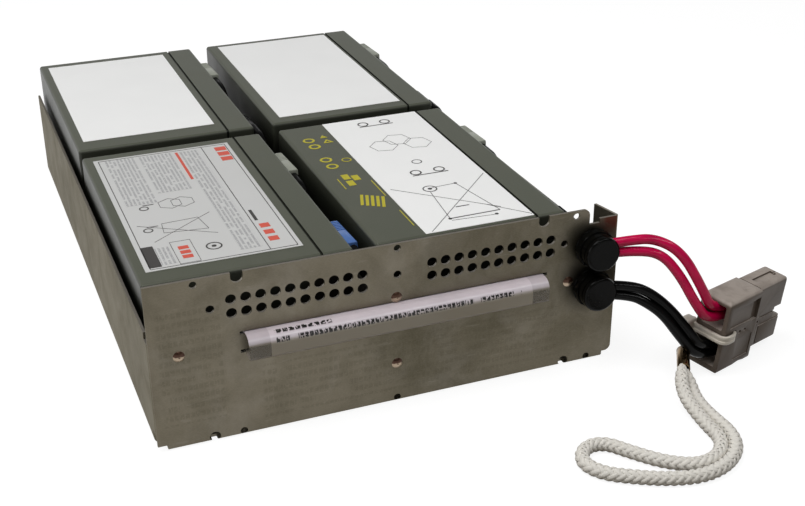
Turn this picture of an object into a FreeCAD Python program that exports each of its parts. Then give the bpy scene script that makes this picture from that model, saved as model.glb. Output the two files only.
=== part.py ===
"""Battery cartridge for a rack power supply: four sealed batteries in a folded steel tray.

X runs along the front panel, Y from the panel to the back, Z up from the tray's underside.
"""
import FreeCAD
import Part
import math
import os

V = FreeCAD.Vector
X_AXIS, Y_AXIS, Z_AXIS = V(1, 0, 0), V(0, 1, 0), V(0, 0, 1)

sheet = 1.2                 # thickness of the tray's steel

# ---- batteries ----
battery_length = 151.0
battery_width = 94.0
battery_height = 65.0
lid_width = 14.0
front_space = 24.0
row_gap = 9.5
left_gap = 3.4
battery_places = {"front_left": (0, 0), "front_right": (1, 0), "rear_left": (0, 1), "rear_right": (1, 1)}
column_gap = 10.4
right_gap = 11.8
back_gap = 1.3
tape_thickness = 1.0
case_edge = 1.6
groove_width = 1.2
groove_depth = 0.9
label_thickness = 0.2
# Margins of each label: from the battery's left side, the lid, the front end and the back end.
label_margins = {"front_left": (4.6, 5.6, 11.2, 7.4), "front_right": (24.5, 1.5, 1.5, 1.5),
                 "rear_left": (4.6, 5.0, 12.5, 7.0), "rear_right": (6.5, 2.5, 8.5, 5.5)}
tape_width = 18.0
tape_end_gap = 8.0
tape_shares = (0.25, 0.75)      # where the two strips lie across a battery's width

# ---- tray ----
tray_width = 2 * sheet + left_gap + 2 * battery_width + column_gap + right_gap
tray_depth = front_space + 2 * battery_length + row_gap + back_gap + sheet
panel_height = sheet + tape_thickness + battery_height + 11.3
wall_height_front = panel_height - 24.0
wall_height_back = wall_height_front - 4.5
wall_short = 7.0            # the side walls stop this far before the tray's back edge
wall_bend = 3.0             # outer radius of the side bends
panel_bend = 2.0            # outer radius of the other bends
corner_relief = 4.5
wall_start = 8.0            # the walls' straight part begins this far behind the panel's face
lip_height = 12.0
lap_gap = 0.15              # air between sheets that lap each other
left_tab = 19.0
right_tab = 30.0
tab_bottom = 7.0
tab_top = wall_height_front - 3.0
ear_width = 10.0
ear_notch = 5.2
panel_corner = 3.0          # radius of the panel's top right and bottom right corners
ear_height = panel_height - 5.5
notch_floor = panel_height - 7.5
flange_depth = 20.9
flange_bottom = wall_height_front + 2.0
flange_back_height = ear_height - 3.0

# ---- panel holes: places from the left edge and the underside ----
vent_hole = 4.6
vent_pitch = 6.35
vent_columns = 10
vent_rows = 2
vent_upper_row = panel_height - 11.9
vent_length = (vent_columns - 1) * vent_pitch
vent_starts = (35.5, tray_width - 34.35 - vent_length)
top_notches = (38.6, tray_width - 38.0)
top_notch_width = 5.3
top_notch_depth = 4.7
small_holes = ((20.5, panel_height - 2.4, 3.2), (26.7, panel_height - 14.8, 3.7),
               (tray_width / 2 + 0.5, panel_height - 2.2, 3.2),
               (tray_width / 2 + 0.5, panel_height - 14.7, 3.6),
               (tray_width - 27.4, panel_height - 15.0, 3.5), (tray_width - 21.9, panel_height - 2.6, 3.2))
bend_holes = ((24.7, 5.0), (37.4, 3.3), (tray_width / 2, 3.3), (tray_width - 24.9, 5.0),
              (tray_width - 12.8, 3.3))
bend_hole_height = 2.2

# ---- rivets ----
rivet_head = 5.0
rivet_shank = 3.2
rivet_dome = 1.1
rivet_upset = 4.6
centre_rivets = (panel_height - 25.6, 19.9)     # heights of the two rivets on the panel's centre line
side_rivets = ((12.3, panel_height - 33.9), (tray_width - 24.5, panel_height - 34.6))

# ---- handle band ----
band_film = 0.5
band_left, band_right = 40.3, tray_width - 37.6
band_slot_upper = panel_height - 28.4
band_slot_lower = band_slot_upper - 8.7
band_slot = 1.5
band_shoulder = 4.5         # corner radii of the band: over the top, at the lip, and behind the panel
band_lip = 1.1
band_inner_bend = 0.8
slot_over = 2.0             # how far the slots reach past the band's ends
band_reach = 7.2            # from the panel's face to the band's front
band_drop = 1.8             # the front hangs this far below the lower slot
band_behind = 0.9           # the inner run's distance behind the panel's back face

# ---- spacer behind the panel ----
stop_crown = 22.0
stop_foot = 20.0
stop_bottom, stop_top = 14.0, panel_height - 21.0
stop_window = 0.6           # air between the band's inner run and the spacer's window

# ---- terminals ----
tab_width = 6.35
tab_blade = 0.8
tab_reach = 5.4
tab_from_end = 31.0
tab_below_top = 6.0
pocket = (12.0, 10.0, 2.4)      # along Y, along Z, depth into the lid
vent_strip = (72.0, 16.0, 1.6)
seat_gap = 0.2                  # small clearance between pieces that seat on each other
shell = (6.2, 30.0, 9.0)        # terminal housing along X, Y, Z
shell_tab_offset = 4.0          # from the tab's centre to the housing's closed end
shell_edge = 0.7
rib_count = 5
rib_pitch = 2.4
rib_groove = (1.2, 0.5)         # width and depth
first_rib = 5.0                 # from the housing's closed end
wire = 4.6
wire_socket = 5.0
socket_depth = 9.0

# ---- strain reliefs ----
bush_x = tray_width - 13.5
bush_heights = (panel_height - 18.1, panel_height - 38.2)
bush_hole = 14.0
bush_shank = 13.6
bush_neck = 15.2
bush_head = 16.6
bush_neck_length = 4.0
bush_head_length = 8.0
bush_shank_length = 7.0
bush_edge = 1.6
bush_line = (3.0, 0.6, 0.5)     # parting line round the head: place, width, depth
barb_rise = 0.7
barb_length = 2.5
inner_pitch = 5.0               # spacing of the two leads inside a strain relief
exit_spacing = 4.7              # and of the two where they leave its head
exit_reach = 5.5                # from the strain relief's axis to where the leads' bends start
exit_depth = 4.0                # from the head's back to the leads' centre lines

# ---- leads inside ----
front_lead_gap = 5.3            # from the front batteries to the lead that crosses high behind the panel
rear_lead_gap = 0.7             # and to the one that crosses low
low_lead_height = 7.8
side_lead_drop = 13.0
rise_start, rise_end = 62.0, 22.0   # where a lead climbs to its terminal, measured before its end
jumper_drop = 19.0
jumper_turn = 13.0              # a jumper turns down this far before the housing it comes from
jumper_rise_start, jumper_rise_end = 32.0, 16.0
upper_lead_straight = 6.0       # straight runs of the right-hand leads behind the strain reliefs
lower_lead_straight = 9.0
side_lead_start = 24.0
housing_approach = 3.0          # straight run of a lead before its housing
corner_bend = 7.5               # bend radii: behind the panel, at the floor, along the sides, to a terminal
right_lead_bend = 9.0
floor_bend = (7.0, 8.0, 8.0)
side_bend = 10.0
climb_bend = 20.0

# ---- power plug ----
plug_corner = V(bush_x - tray_width / 2 + 48.8, -tray_depth / 2 - 36.1, 1.6)
plug_turn = FreeCAD.Rotation(20.5, 2.8, 4.7)
plug_length = 47.6
plug_height = 36.8
plug_thickness = 15.9
plug_body = 25.6
plug_rim = 2.6
plug_partition = 7.2
plug_mouth_depth = 20.0
nose_bottom = 4.6
plug_wall = 2.2                 # wall beside each mouth
plug_edge = 1.0
nose_inset = 1.2
nose_step = 0.4                 # the nose's top lies this far below the body's
nose_chamfer = 1.6
nose_bore = 7.9
nose_bore_height = 8.2
nose_rail = (2.2, 1.0, 3.0)     # groove along the nose's top: width, depth, distance from its ends
dimples = (13.0, 23.8)
dimple_size = 1.6
dimple_depth = 1.4
nose_notch = (6.4, 6.0)
nose_notch_bottom = 15.8
contact_seat = 10.6             # where the wires end, measured from the plug's mouth
barrel_size = (6.0, 10.4)
barrel_edge = 0.8
blade_thickness = 1.8
blade_height = 6.8
blade_recess = 4.0              # the blade's tip lies this far inside the nose
spring_leaf = 0.5
spring_rise = 1.5
spring_height = 5.0
spring_ends = (4.0, 9.0)        # from the mouth's end and from the nose's tip

# ---- cable tie ----
tie_width = 4.6
tie_strip = 1.2
tie_slot_at = 7.9
tie_slot_spare = 0.5
tie_bend = 1.0
tie_head = (6.5, 5.5, 6.5)
tie_head_over = 1.5             # how far the head reaches along the plug past its mouth face
tie_head_edge = 0.8

# ---- rope ----
rope = 6.0
ferrule_length = 5.0
ferrule_thickness = 5.6
link_wire = 2.2
link_leg_spacing = 3.8
link_bend_radius = 3.0
link_top_radius = 1.6
ferrule_flat = 0.2              # flat left on the ferrule's narrow sides
link_rest_along = -3.0          # where the link hangs under the tie's head, along the plug

left_edge = -tray_width / 2
front_face = -tray_depth / 2
panel_back = front_face + sheet
battery_floor = sheet + tape_thickness
battery_top = battery_floor + battery_height
inner_wall = tray_width / 2 - sheet


def box(x0, x1, y0, y1, z0, z1):
    """Box between two opposite corners."""
    return Part.makeBox(x1 - x0, y1 - y0, z1 - z0, V(x0, y0, z0))


def rounded_box(x0, x1, y0, y1, z0, z1, radius):
    """Box with every edge rounded."""
    solid = box(x0, x1, y0, y1, z0, z1)
    return solid.makeFillet(radius, solid.Edges)


def is_upright(edge):
    """True for a straight edge along Z."""
    first, last = edge.Vertexes[0].Point, edge.Vertexes[-1].Point
    return (first - last).cross(Z_AXIS).Length < 1e-6 < (first - last).Length


def rod(start, end, diameter):
    """Straight round bar from one point to another."""
    return Part.makeCylinder(diameter / 2, (end - start).Length, start, end - start)


def rounded_path(points, radii):
    """Edges of an open path with an arc of the given radius at each inner corner."""
    edges = []
    here = points[0]
    for before, corner, after, radius in zip(points, points[1:], points[2:], radii):
        incoming = (corner - before).normalize()
        outgoing = (after - corner).normalize()
        turn = incoming.getAngle(outgoing)
        cut = radius * math.tan(turn / 2)
        first, last = corner - incoming * cut, corner + outgoing * cut
        inward = (outgoing - incoming).normalize()
        middle = corner + inward * (radius / math.cos(turn / 2) - radius)
        edges.append(Part.LineSegment(here, first).toShape())
        edges.append(Part.Arc(first, middle, last).toShape())
        here = last
    edges.append(Part.LineSegment(here, points[-1]).toShape())
    return edges


def offset_points(points, normal, side):
    """Corners of a line shifted sideways in the plane with this normal."""
    ways = [(after - before).normalize() for before, after in zip(points, points[1:])]
    shifted = []
    for point, before, after in zip(points, ways[:1] + ways, ways + ways[-1:]):
        mean = (normal.cross(before) + normal.cross(after)).normalize()
        shifted.append(point + mean * (side / mean.dot(normal.cross(before))))
    return shifted


def folded(points, normal, run, radius):
    """Sheet folded along a centre line: the line's plane has this normal, run is the sheet's length."""
    sides = []
    for side in (sheet / 2, -sheet / 2):
        radii = []
        for before, corner, after in zip(points, points[1:], points[2:]):
            bend = normal.dot((corner - before).cross(after - corner))
            outside = bend * side < 0
            radii.append(radius if outside else radius - sheet)
        sides.append(rounded_path(offset_points(points, normal, side), radii))
    one, other = sides
    end = Part.LineSegment(one[-1].lastVertex().Point, other[-1].lastVertex().Point).toShape()
    start = Part.LineSegment(one[0].firstVertex().Point, other[0].firstVertex().Point).toShape()
    outline = Part.Wire(Part.__sortEdges__(one + [end] + other + [start]))
    return Part.Face(outline).extrude(normal * run)


def tube_along(edges, diameter):
    """Round bar that follows a path of lines and tangent arcs."""
    path = Part.Wire(edges)
    start = edges[0].firstVertex().Point
    way = edges[0].lastVertex().Point - start
    ring = Part.Wire(Part.Circle(start, way, diameter / 2).toShape())
    return path.makePipeShell([ring], True, False)


def loose_radii(points):
    """Largest arc that the two runs beside each corner leave room for."""
    radii = []
    for before, corner, after in zip(points, points[1:], points[2:]):
        runs = (corner - before).Length, (after - corner).Length
        turn = (corner - before).getAngle(after - corner)
        radii.append(0.45 * min(runs) / math.tan(turn / 2))
    return radii


def from_left(x):
    """X of a place given as its distance from the panel's left edge."""
    return left_edge + x


def panel_hole(x, z, diameter):
    """Drill through the front panel, with x measured from the panel's left edge."""
    return Part.makeCylinder(diameter / 2, 4 * sheet, V(from_left(x), front_face - sheet, z), Y_AXIS)


def slope_cutter(x, run, y0, z0, y1, z1):
    """What lies above a line that falls from front to back, as a solid that runs along X."""
    over = max(z0, z1) + 1
    outline = Part.makePolygon([V(x, y0, z0), V(x, y1, z1), V(x, y1, over), V(x, y0, over), V(x, y0, z0)])
    return Part.Face(outline).extrude(X_AXIS * run)


def build_tray():
    """One folded sheet: floor, side walls, rear lip, front panel, its ear and the tabs behind it."""
    half = sheet / 2
    left, right = left_edge, -left_edge
    back = -front_face
    wall_line = right - half
    section = [V(-wall_line, 0, wall_height_front), V(-wall_line, 0, half),
               V(wall_line, 0, half), V(wall_line, 0, wall_height_front)]
    channel = folded(section, Y_AXIS, tray_depth - wall_short - wall_start, wall_bend)
    channel.translate(V(0, front_face + wall_start, 0))
    inset = left + corner_relief
    floor_run = tray_width - 2 * corner_relief
    front_bend = [V(inset, front_face + half, panel_height / 2), V(inset, front_face + half, half),
                  V(inset, front_face + wall_start + 1, half)]
    rear_bend = [V(inset, back - wall_short - 1, half), V(inset, back - half, half),
                 V(inset, back - half, lip_height)]
    bends = [folded(line, X_AXIS, floor_run, panel_bend) for line in (front_bend, rear_bend)]
    tray = channel.fuse(bends + [build_panel_plate(), build_ear_flange()] + build_tabs())
    above_walls = slope_cutter(left, tray_width, front_face, wall_height_front, back, wall_height_back)
    behind_flange = front_face + flange_depth
    above_walls = above_walls.cut(box(left, right, front_face, behind_flange, 0, panel_height))
    return tray.cut([above_walls] + panel_openings()).removeSplitter()


def build_panel_plate():
    """Flat part of the front panel, with the ear at its right end."""
    right = -left_edge
    bottom = panel_bend + 1
    ear_left = right - ear_width
    top_end = ear_left - ear_notch
    plate = box(left_edge, right, front_face, panel_back, bottom, panel_height)
    plate = plate.cut([box(top_end, ear_left, front_face, panel_back, notch_floor, panel_height),
                       box(ear_left, right, front_face, panel_back, ear_height, panel_height)])
    rounded = [V(top_end, 0, panel_height), V(right, 0, bottom)]
    corners = []
    for edge in plate.Edges:
        across = V(edge.CenterOfMass.x, 0, edge.CenterOfMass.z)
        if any((across - corner).Length < 1e-6 for corner in rounded):
            corners.append(edge)
    plate = plate.makeFillet(panel_corner, corners)
    return plate.cut(box(right - panel_bend, right, front_face, panel_back, flange_bottom, panel_height))


def build_ear_flange():
    """Flange folded back from the panel's right ear, above the side wall."""
    half = sheet / 2
    line = -left_edge - half
    bend = [V(line - ear_width / 2, front_face + half, flange_bottom),
            V(line, front_face + half, flange_bottom),
            V(line, front_face + flange_depth, flange_bottom)]
    flange = folded(bend, Z_AXIS, ear_height - flange_bottom, panel_bend)
    return flange.cut(slope_cutter(line - ear_width, 2 * ear_width, front_face, ear_height,
                                   front_face + flange_depth, flange_back_height))


def build_tabs():
    """Front ends of the side walls, folded in behind the panel."""
    half = sheet / 2
    tab_line = panel_back + lap_gap + half
    tabs = []
    for side, length in ((-1, left_tab), (1, right_tab)):
        wall_line = side * (-left_edge - half)
        inner_end = side * (-left_edge - length)
        bend = [V(wall_line, front_face + wall_start + 1, tab_bottom), V(wall_line, tab_line, tab_bottom),
                V(inner_end, tab_line, tab_bottom)]
        tabs.append(folded(bend, Z_AXIS, tab_top - tab_bottom, panel_bend))
    return tabs


def panel_openings():
    """Everything that is punched out of the front panel and the tabs behind it."""
    cuts = []
    for start in vent_starts:
        for row in range(vent_rows):
            height = vent_upper_row - row * vent_pitch
            for column in range(vent_columns):
                cuts.append(panel_hole(start + column * vent_pitch, height, vent_hole))
    for x in top_notches:
        centre = panel_height - top_notch_depth + top_notch_width / 2
        cuts.append(panel_hole(x, centre, top_notch_width))
        cuts.append(box(from_left(x) - top_notch_width / 2, from_left(x) + top_notch_width / 2,
                        front_face - 1, panel_back + 1, centre, panel_height + 1))
    for x, z, diameter in small_holes:
        cuts.append(panel_hole(x, z, diameter))
    for x, diameter in bend_holes:
        cuts.append(panel_hole(x, bend_hole_height, diameter))
    for height in (band_slot_upper, band_slot_lower):
        cuts.append(box(from_left(band_left - slot_over), from_left(band_right + slot_over),
                        front_face - 1, panel_back + 1, height - band_slot / 2, height + band_slot / 2))
    for height in centre_rivets:
        cuts.append(panel_hole(-left_edge, height, rivet_shank + 2 * lap_gap))
    for x, height in side_rivets:
        cuts.append(panel_hole(x, height, rivet_shank + 2 * lap_gap))
    for height in bush_heights:
        cuts.append(panel_hole(bush_x, height, bush_hole))
    return cuts


def build_rivet(x, z, grip):
    """Domed rivet through the panel and what lies behind it, turned about its own axis."""
    head, shank, upset = rivet_head / 2, rivet_shank / 2, rivet_upset / 2
    dome_radius = (head ** 2 + rivet_dome ** 2) / (2 * rivet_dome)
    crown = dome_radius - rivet_dome
    halfway = V(head / 2, crown - math.sqrt(dome_radius ** 2 - head ** 2 / 4), 0)
    dome = Part.Arc(V(0, -rivet_dome, 0), halfway, V(head, 0, 0)).toShape()
    corners = [V(head, 0, 0), V(shank, 0, 0), V(shank, grip, 0), V(upset, grip, 0),
               V(upset, grip + rivet_dome, 0), V(0, grip + rivet_dome, 0), V(0, -rivet_dome, 0)]
    outline = Part.Face(Part.Wire([dome] + Part.makePolygon(corners).Edges))
    return outline.revolve(V(0, 0, 0), Y_AXIS, 360).translated(V(from_left(x), front_face, z))


def build_rivets():
    grip = 2 * sheet + 2 * lap_gap
    places = [(x, z) for x, z in side_rivets] + [(-left_edge, z) for z in centre_rivets]
    return Part.makeCompound([build_rivet(x, z, grip) for x, z in places])


def build_battery_stop():
    """Hat-shaped spacer riveted behind the panel: its feet hold the front batteries back."""
    crown_line = panel_back + lap_gap + sheet / 2
    foot_line = front_face + front_space - seat_gap - sheet / 2
    side = stop_crown / 2
    end = side + stop_foot
    section = [V(-end, foot_line, stop_bottom), V(-side, foot_line, stop_bottom),
               V(-side, crown_line, stop_bottom), V(side, crown_line, stop_bottom),
               V(side, foot_line, stop_bottom), V(end, foot_line, stop_bottom)]
    hat = folded(section, Z_AXIS, stop_top - stop_bottom, panel_bend)
    band_back = panel_back + band_behind + band_film / 2
    window = box(-end, end, front_face, band_back + stop_window,
                 band_slot_lower - band_slot, band_slot_upper + band_slot / 2)
    holes = [panel_hole(-left_edge, height, rivet_shank + 2 * lap_gap) for height in centre_rivets]
    return hat.cut([window] + holes).removeSplitter()


def build_handle():
    """Clear film band: out through the upper slot, back through the lower one, closed behind the panel."""
    half = band_film / 2
    inner_run = panel_back + band_behind
    front = front_face - band_reach + half
    low = band_slot_lower - band_drop
    loops = []
    for offset in (half, -half):
        inner_low = V(0, inner_run + offset, band_slot_lower - offset)
        inner_high = V(0, inner_run + offset, band_slot_upper + offset)
        front_high = V(0, front - offset, band_slot_upper + offset)
        front_low = V(0, front - offset, low - offset)
        middle = (inner_low + inner_high) * 0.5
        ring = [middle, inner_high, front_high, front_low, inner_low, middle]
        bends = (band_inner_bend, band_shoulder, band_lip, band_inner_bend)
        radii = [radius + offset for radius in bends]
        loops.append(Part.Wire(rounded_path(ring, radii)))
    profile = Part.Face(loops[0]).cut(Part.Face(loops[1]))
    return profile.extrude(X_AXIS * (band_right - band_left)).translated(V(from_left(band_left), 0, 0))


def battery_corner(column, row):
    """Lowest left front corner of one battery."""
    x = left_edge + left_gap + column * (battery_width + column_gap)
    y = front_face + front_space + row * (battery_length + row_gap)
    return V(x, y, battery_floor)


def tab_places(corner):
    """Centre of each of the two terminal tabs at the lid's face, front one first."""
    x = corner.x + battery_width
    z = corner.z + battery_height - tab_below_top
    return [V(x, corner.y + tab_from_end, z), V(x, corner.y + battery_length - tab_from_end, z)]


def build_case(corner):
    """Battery container, with a step at the joint where the lid closes it."""
    depth = battery_width - lid_width
    solid = box(0, depth, 0, battery_length, 0, battery_height)
    kept = [edge for edge in solid.Edges if edge.CenterOfMass.x < depth - 1e-6]
    solid = solid.makeFillet(case_edge, kept)
    around = box(depth - groove_width, depth, -1, battery_length + 1, -1, battery_height + 1)
    inside = box(depth - groove_width, depth, groove_depth, battery_length - groove_depth,
                 groove_depth, battery_height - groove_depth)
    return solid.cut(around.cut(inside)).translated(corner)


def build_lid(corner):
    """Battery lid, with pockets for the terminals and a channel for the vent cover."""
    inner = battery_width - lid_width
    solid = box(inner, battery_width, 0, battery_length, 0, battery_height)
    kept = [edge for edge in solid.Edges if edge.CenterOfMass.x > inner + 1e-6]
    solid = solid.makeFillet(case_edge, kept)
    half_length, half_height = pocket[0] / 2, pocket[1] / 2
    cuts = [strip_box(0)]
    for place in tab_places(V(0, 0, 0)):
        cuts.append(box(place.x - pocket[2], place.x + 1, place.y - half_length, place.y + half_length,
                        place.z - half_height, battery_height - case_edge))
    return solid.cut(cuts).translated(corner)


def strip_box(clearance):
    """Vent cover's space in the lid of a battery that stands at the origin."""
    length, height, depth = vent_strip
    middle = battery_length / 2
    bottom = battery_height / 2 - height / 2
    return box(battery_width - depth, battery_width, middle - length / 2 + clearance,
               middle + length / 2 - clearance, bottom + clearance, bottom + height - clearance)


def build_vent_strip(corner):
    return strip_box(seat_gap).translated(corner)


def build_tabs_of(corner):
    """Two spade terminals: a foot in the lid's pocket and a blade that stands out."""
    solids = []
    for place in tab_places(corner):
        root = place.x - pocket[2]
        y0, y1 = place.y - tab_width / 2, place.y + tab_width / 2
        top = place.z + tab_blade / 2
        foot = box(root, root + tab_blade, y0, y1, place.z - tab_width / 2, top)
        blade = box(root, place.x + tab_reach, y0, y1, top - tab_blade, top)
        solids.append(foot.fuse(blade).removeSplitter())
    return Part.makeCompound(solids)


def build_shell(place, ribbed):
    """Insulating housing over one spade terminal: the lead enters its front end."""
    depth, length, height = shell
    x0 = place.x + seat_gap
    y1 = place.y + shell_tab_offset
    z0 = place.z - height / 2
    solid = rounded_box(x0, x0 + depth, y1 - length, y1, z0, z0 + height, shell_edge)
    mouth = V(x0 + depth / 2, y1 - length, place.z)
    slot_half = tab_width / 2 + seat_gap
    blade_half = tab_blade / 2 + seat_gap
    cuts = [Part.makeCylinder(wire_socket / 2, socket_depth, mouth, Y_AXIS),
            box(x0 - 1, place.x + tab_reach + seat_gap, place.y - slot_half, place.y + slot_half,
                place.z - blade_half, place.z + blade_half)]
    if ribbed:
        groove, deep = rib_groove
        for index in range(rib_count):
            y = y1 - first_rib - index * rib_pitch
            cuts.append(box(x0 - 1, x0 + depth + 1, y - groove / 2, y + groove / 2,
                            z0 + height - deep, z0 + height + 1))
    return solid.cut(cuts)


def build_label(corner, margins):
    """Label laid on the battery's top."""
    left, to_lid, front, back = margins
    return box(corner.x + left, corner.x + battery_width - lid_width - to_lid,
               corner.y + front, corner.y + battery_length - back,
               battery_top, battery_top + label_thickness)


def build_tape():
    """Two strips of foam tape under each battery."""
    strips = []
    for column, row in battery_places.values():
        corner = battery_corner(column, row)
        y0, y1 = corner.y + tape_end_gap, corner.y + battery_length - tape_end_gap
        for share in tape_shares:
            x = corner.x + share * battery_width
            strips.append(box(x - tape_width / 2, x + tape_width / 2, y0, y1, sheet, battery_floor))
    return Part.makeCompound(strips)


def build_bush(height, routes):
    """Right-angled strain relief: the leads come through the panel and leave its head to the right."""
    x = from_left(bush_x)
    neck_front = front_face - bush_neck_length
    head_front = neck_front - bush_head_length
    shank_length = bush_neck_length + bush_shank_length
    shank = Part.makeCylinder(bush_shank / 2, shank_length, V(x, neck_front, height), Y_AXIS)
    neck = Part.makeCylinder(bush_neck / 2, bush_neck_length, V(x, neck_front, height), Y_AXIS)
    head = Part.makeCylinder(bush_head / 2, bush_head_length, V(x, head_front, height), Y_AXIS)
    front_edge = [edge for edge in head.Edges if edge.CenterOfMass.y < head_front + 1]
    head = head.makeFillet(bush_edge, front_edge)
    barb_start = panel_back + sheet + 2 * lap_gap
    barb = Part.makeCone(bush_shank / 2 + barb_rise, bush_shank / 2, barb_length,
                         V(x, barb_start, height), Y_AXIS)
    line_place, line_width, line_depth = bush_line
    line_start = V(x, head_front + line_place, height)
    ring = Part.makeCylinder(bush_head, line_width, line_start, Y_AXIS)
    groove = ring.cut(Part.makeCylinder(bush_head / 2 - line_depth, line_width, line_start, Y_AXIS))
    solid = shank.fuse([neck, head, barb]).cut(groove)
    for route in routes:
        way = (route[1] - route[0]).normalize()
        solid = solid.cut(rod(route[0], route[0] + way * bush_head, wire_socket))
    return solid.removeSplitter()


def plug_place(shape):
    """Carry a piece from the plug's own axes to where the plug lies."""
    return shape.transformed(FreeCAD.Placement(plug_corner, plug_turn).toMatrix())


def plug_point(along, across, up):
    """A point given in the plug's own axes: along its length, through it, and up it."""
    return plug_corner + plug_turn.multVec(V(along, across, up))


def mouth_heights():
    """Lower and upper edge of each wire mouth, lower mouth first."""
    middle = plug_height / 2
    return [(plug_rim, middle - plug_partition / 2), (middle + plug_partition / 2, plug_height - plug_rim)]


def build_plug():
    """Two-pole housing: a body with two wire mouths and a narrower nose that mates."""
    centre, middle = plug_thickness / 2, plug_height / 2
    body = rounded_box(0, plug_body, 0, plug_thickness, 0, plug_height, plug_edge)
    nose = box(plug_body - plug_edge, plug_length, nose_inset, plug_thickness - nose_inset,
               nose_bottom, plug_height - nose_step)
    tip = [edge for edge in nose.Edges if edge.CenterOfMass.x > plug_length - 1e-6]
    nose = nose.makeChamfer(nose_chamfer, tip)
    cuts = [box(plug_length - nose_notch[0], plug_length + 1, 0, plug_thickness,
                nose_notch_bottom, nose_notch_bottom + nose_notch[1])]
    for low, high in mouth_heights():
        cuts.append(box(-1, plug_mouth_depth, plug_wall, plug_thickness - plug_wall, low, high))
        contact = (low + high) / 2
        cuts.append(box(plug_mouth_depth - 1, plug_length + 1, centre - nose_bore / 2, centre + nose_bore / 2,
                        contact - nose_bore_height / 2, contact + nose_bore_height / 2))
    slot = tie_strip + 2 * tie_slot_spare
    slot_height = tie_width + tie_slot_spare
    cuts.append(box(tie_slot_at - slot / 2, tie_slot_at + slot / 2, -1, plug_thickness + 1,
                    middle - slot_height / 2, middle + slot_height / 2))
    for along in dimples:
        cuts.append(box(along, along + dimple_size, -1, dimple_depth,
                        middle - dimple_size, middle + dimple_size))
    rail_width, rail_depth, rail_end = nose_rail
    cuts.append(box(plug_body + rail_end, plug_length - rail_end, centre - rail_width / 2,
                    centre + rail_width / 2, plug_height - nose_step - rail_depth, plug_height + 1))
    return plug_place(body.fuse(nose).removeSplitter().cut(cuts).removeSplitter())


def build_contact(mouth):
    """Crimped contact: a barrel that takes two wires and a flat blade in the nose."""
    low, high = mouth_heights()[mouth]
    middle = (low + high) / 2
    centre = plug_thickness / 2
    wide, tall = barrel_size
    barrel = rounded_box(contact_seat, plug_mouth_depth - seat_gap, centre - wide / 2, centre + wide / 2,
                         middle - tall / 2, middle + tall / 2, barrel_edge)
    blade = box(plug_mouth_depth - seat_gap - barrel_edge, plug_length - blade_recess,
                centre - blade_thickness / 2, centre + blade_thickness / 2,
                middle - blade_height / 2, middle + blade_height / 2)
    return plug_place(barrel.fuse(blade).removeSplitter())


def build_spring(mouth):
    """Bowed leaf spring that presses the contact's blade to its mate."""
    low, high = mouth_heights()[mouth]
    bottom = (low + high) / 2 - spring_height / 2
    seat = plug_thickness / 2 + blade_thickness / 2 + seat_gap
    first = V(plug_mouth_depth + spring_ends[0], seat, bottom)
    last = V(plug_length - spring_ends[1], seat, bottom)
    crest = (first + last) * 0.5 + V(0, spring_rise, 0)
    thick = V(0, spring_leaf, 0)
    lower = Part.Arc(first, crest, last).toShape()
    upper = Part.Arc(first + thick, crest + thick, last + thick).toShape()
    ends = [Part.LineSegment(point, point + thick).toShape() for point in (first, last)]
    face = Part.Face(Part.Wire(Part.__sortEdges__([lower, upper] + ends)))
    return plug_place(face.extrude(V(0, 0, spring_height)))


def build_tie():
    """Cable tie drawn round the partition between the plug's wire mouths."""
    middle = plug_height / 2
    x0, x1 = -seat_gap, tie_slot_at - tie_strip / 2
    y0, y1 = -seat_gap, plug_thickness + seat_gap
    hole = box(x0, x1, y0, y1, middle - tie_width, middle + tie_width)
    outer = box(x0 - tie_strip, x1 + tie_strip, y0 - tie_strip, y1 + tie_strip,
                middle - tie_width / 2, middle + tie_width / 2)
    upright = [edge for edge in outer.Edges if edge.Length > tie_width - 1e-6 and is_upright(edge)]
    band = outer.makeFillet(tie_bend, upright).cut(hole)
    long, deep, tall = tie_head
    head_y = y1 + seat_gap
    head = rounded_box(tie_head_over - long, tie_head_over, head_y, head_y + deep,
                       middle - tall / 2, middle + tall / 2, tie_head_edge)
    return plug_place(band.fuse(head).removeSplitter())


# Bends of the free leads. The first of each pair is measured from where the lead leaves its strain
# relief, the second from the plug's corner.
lead_bends = {
    "red_lead_upper": ([V(7.5, -3.4, 1.55), V(17.5, -7.5, 4.55), V(27.5, -14.5, -1.05)],
                       [V(-8.6, 6.1, 44.4), V(-3.1, 4.3, 31.7), V(9.2, 8.8, 30.8)]),
    "red_lead_lower": ([V(9.0, -4.2, 1.25), V(19.5, -10.6, 2.15), V(26.5, -17.0, -7.65)],
                       [V(-11.5, 5.3, 36.4), V(-4.7, 3.9, 27.0), V(8.9, 9.0, 26.1)]),
    "black_lead_upper": ([V(9.5, -4.5, 0.55), V(17.2, -9.2, -1.45), V(24.8, -14.7, -6.15)],
                         [V(-12.1, 7.4, 24.9), V(-6.3, 4.1, 12.6), V(7.9, 9.5, 11.4)]),
    "black_lead_lower": ([V(9.0, -4.2, 0.25), V(15.6, -8.2, -1.75), V(22.0, -12.5, -6.35)],
                         [V(-15.9, 9.9, 20.4), V(-7.9, 3.7, 7.9), V(7.6, 9.7, 6.8)]),
}


def lead_exit(height, side):
    """Where a lead's centre line leaves the head of a strain relief; side is 1 for the upper lead."""
    return V(from_left(bush_x) + exit_reach, front_face - bush_neck_length - exit_depth,
             height + side * exit_spacing / 2)


def lead_route(height, side, name):
    """Points of a free lead from its strain relief to its contact."""
    start = lead_exit(height, side)
    near, far = lead_bends[name]
    return [start] + [start + step for step in near] + [plug_corner + step for step in far]


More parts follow.
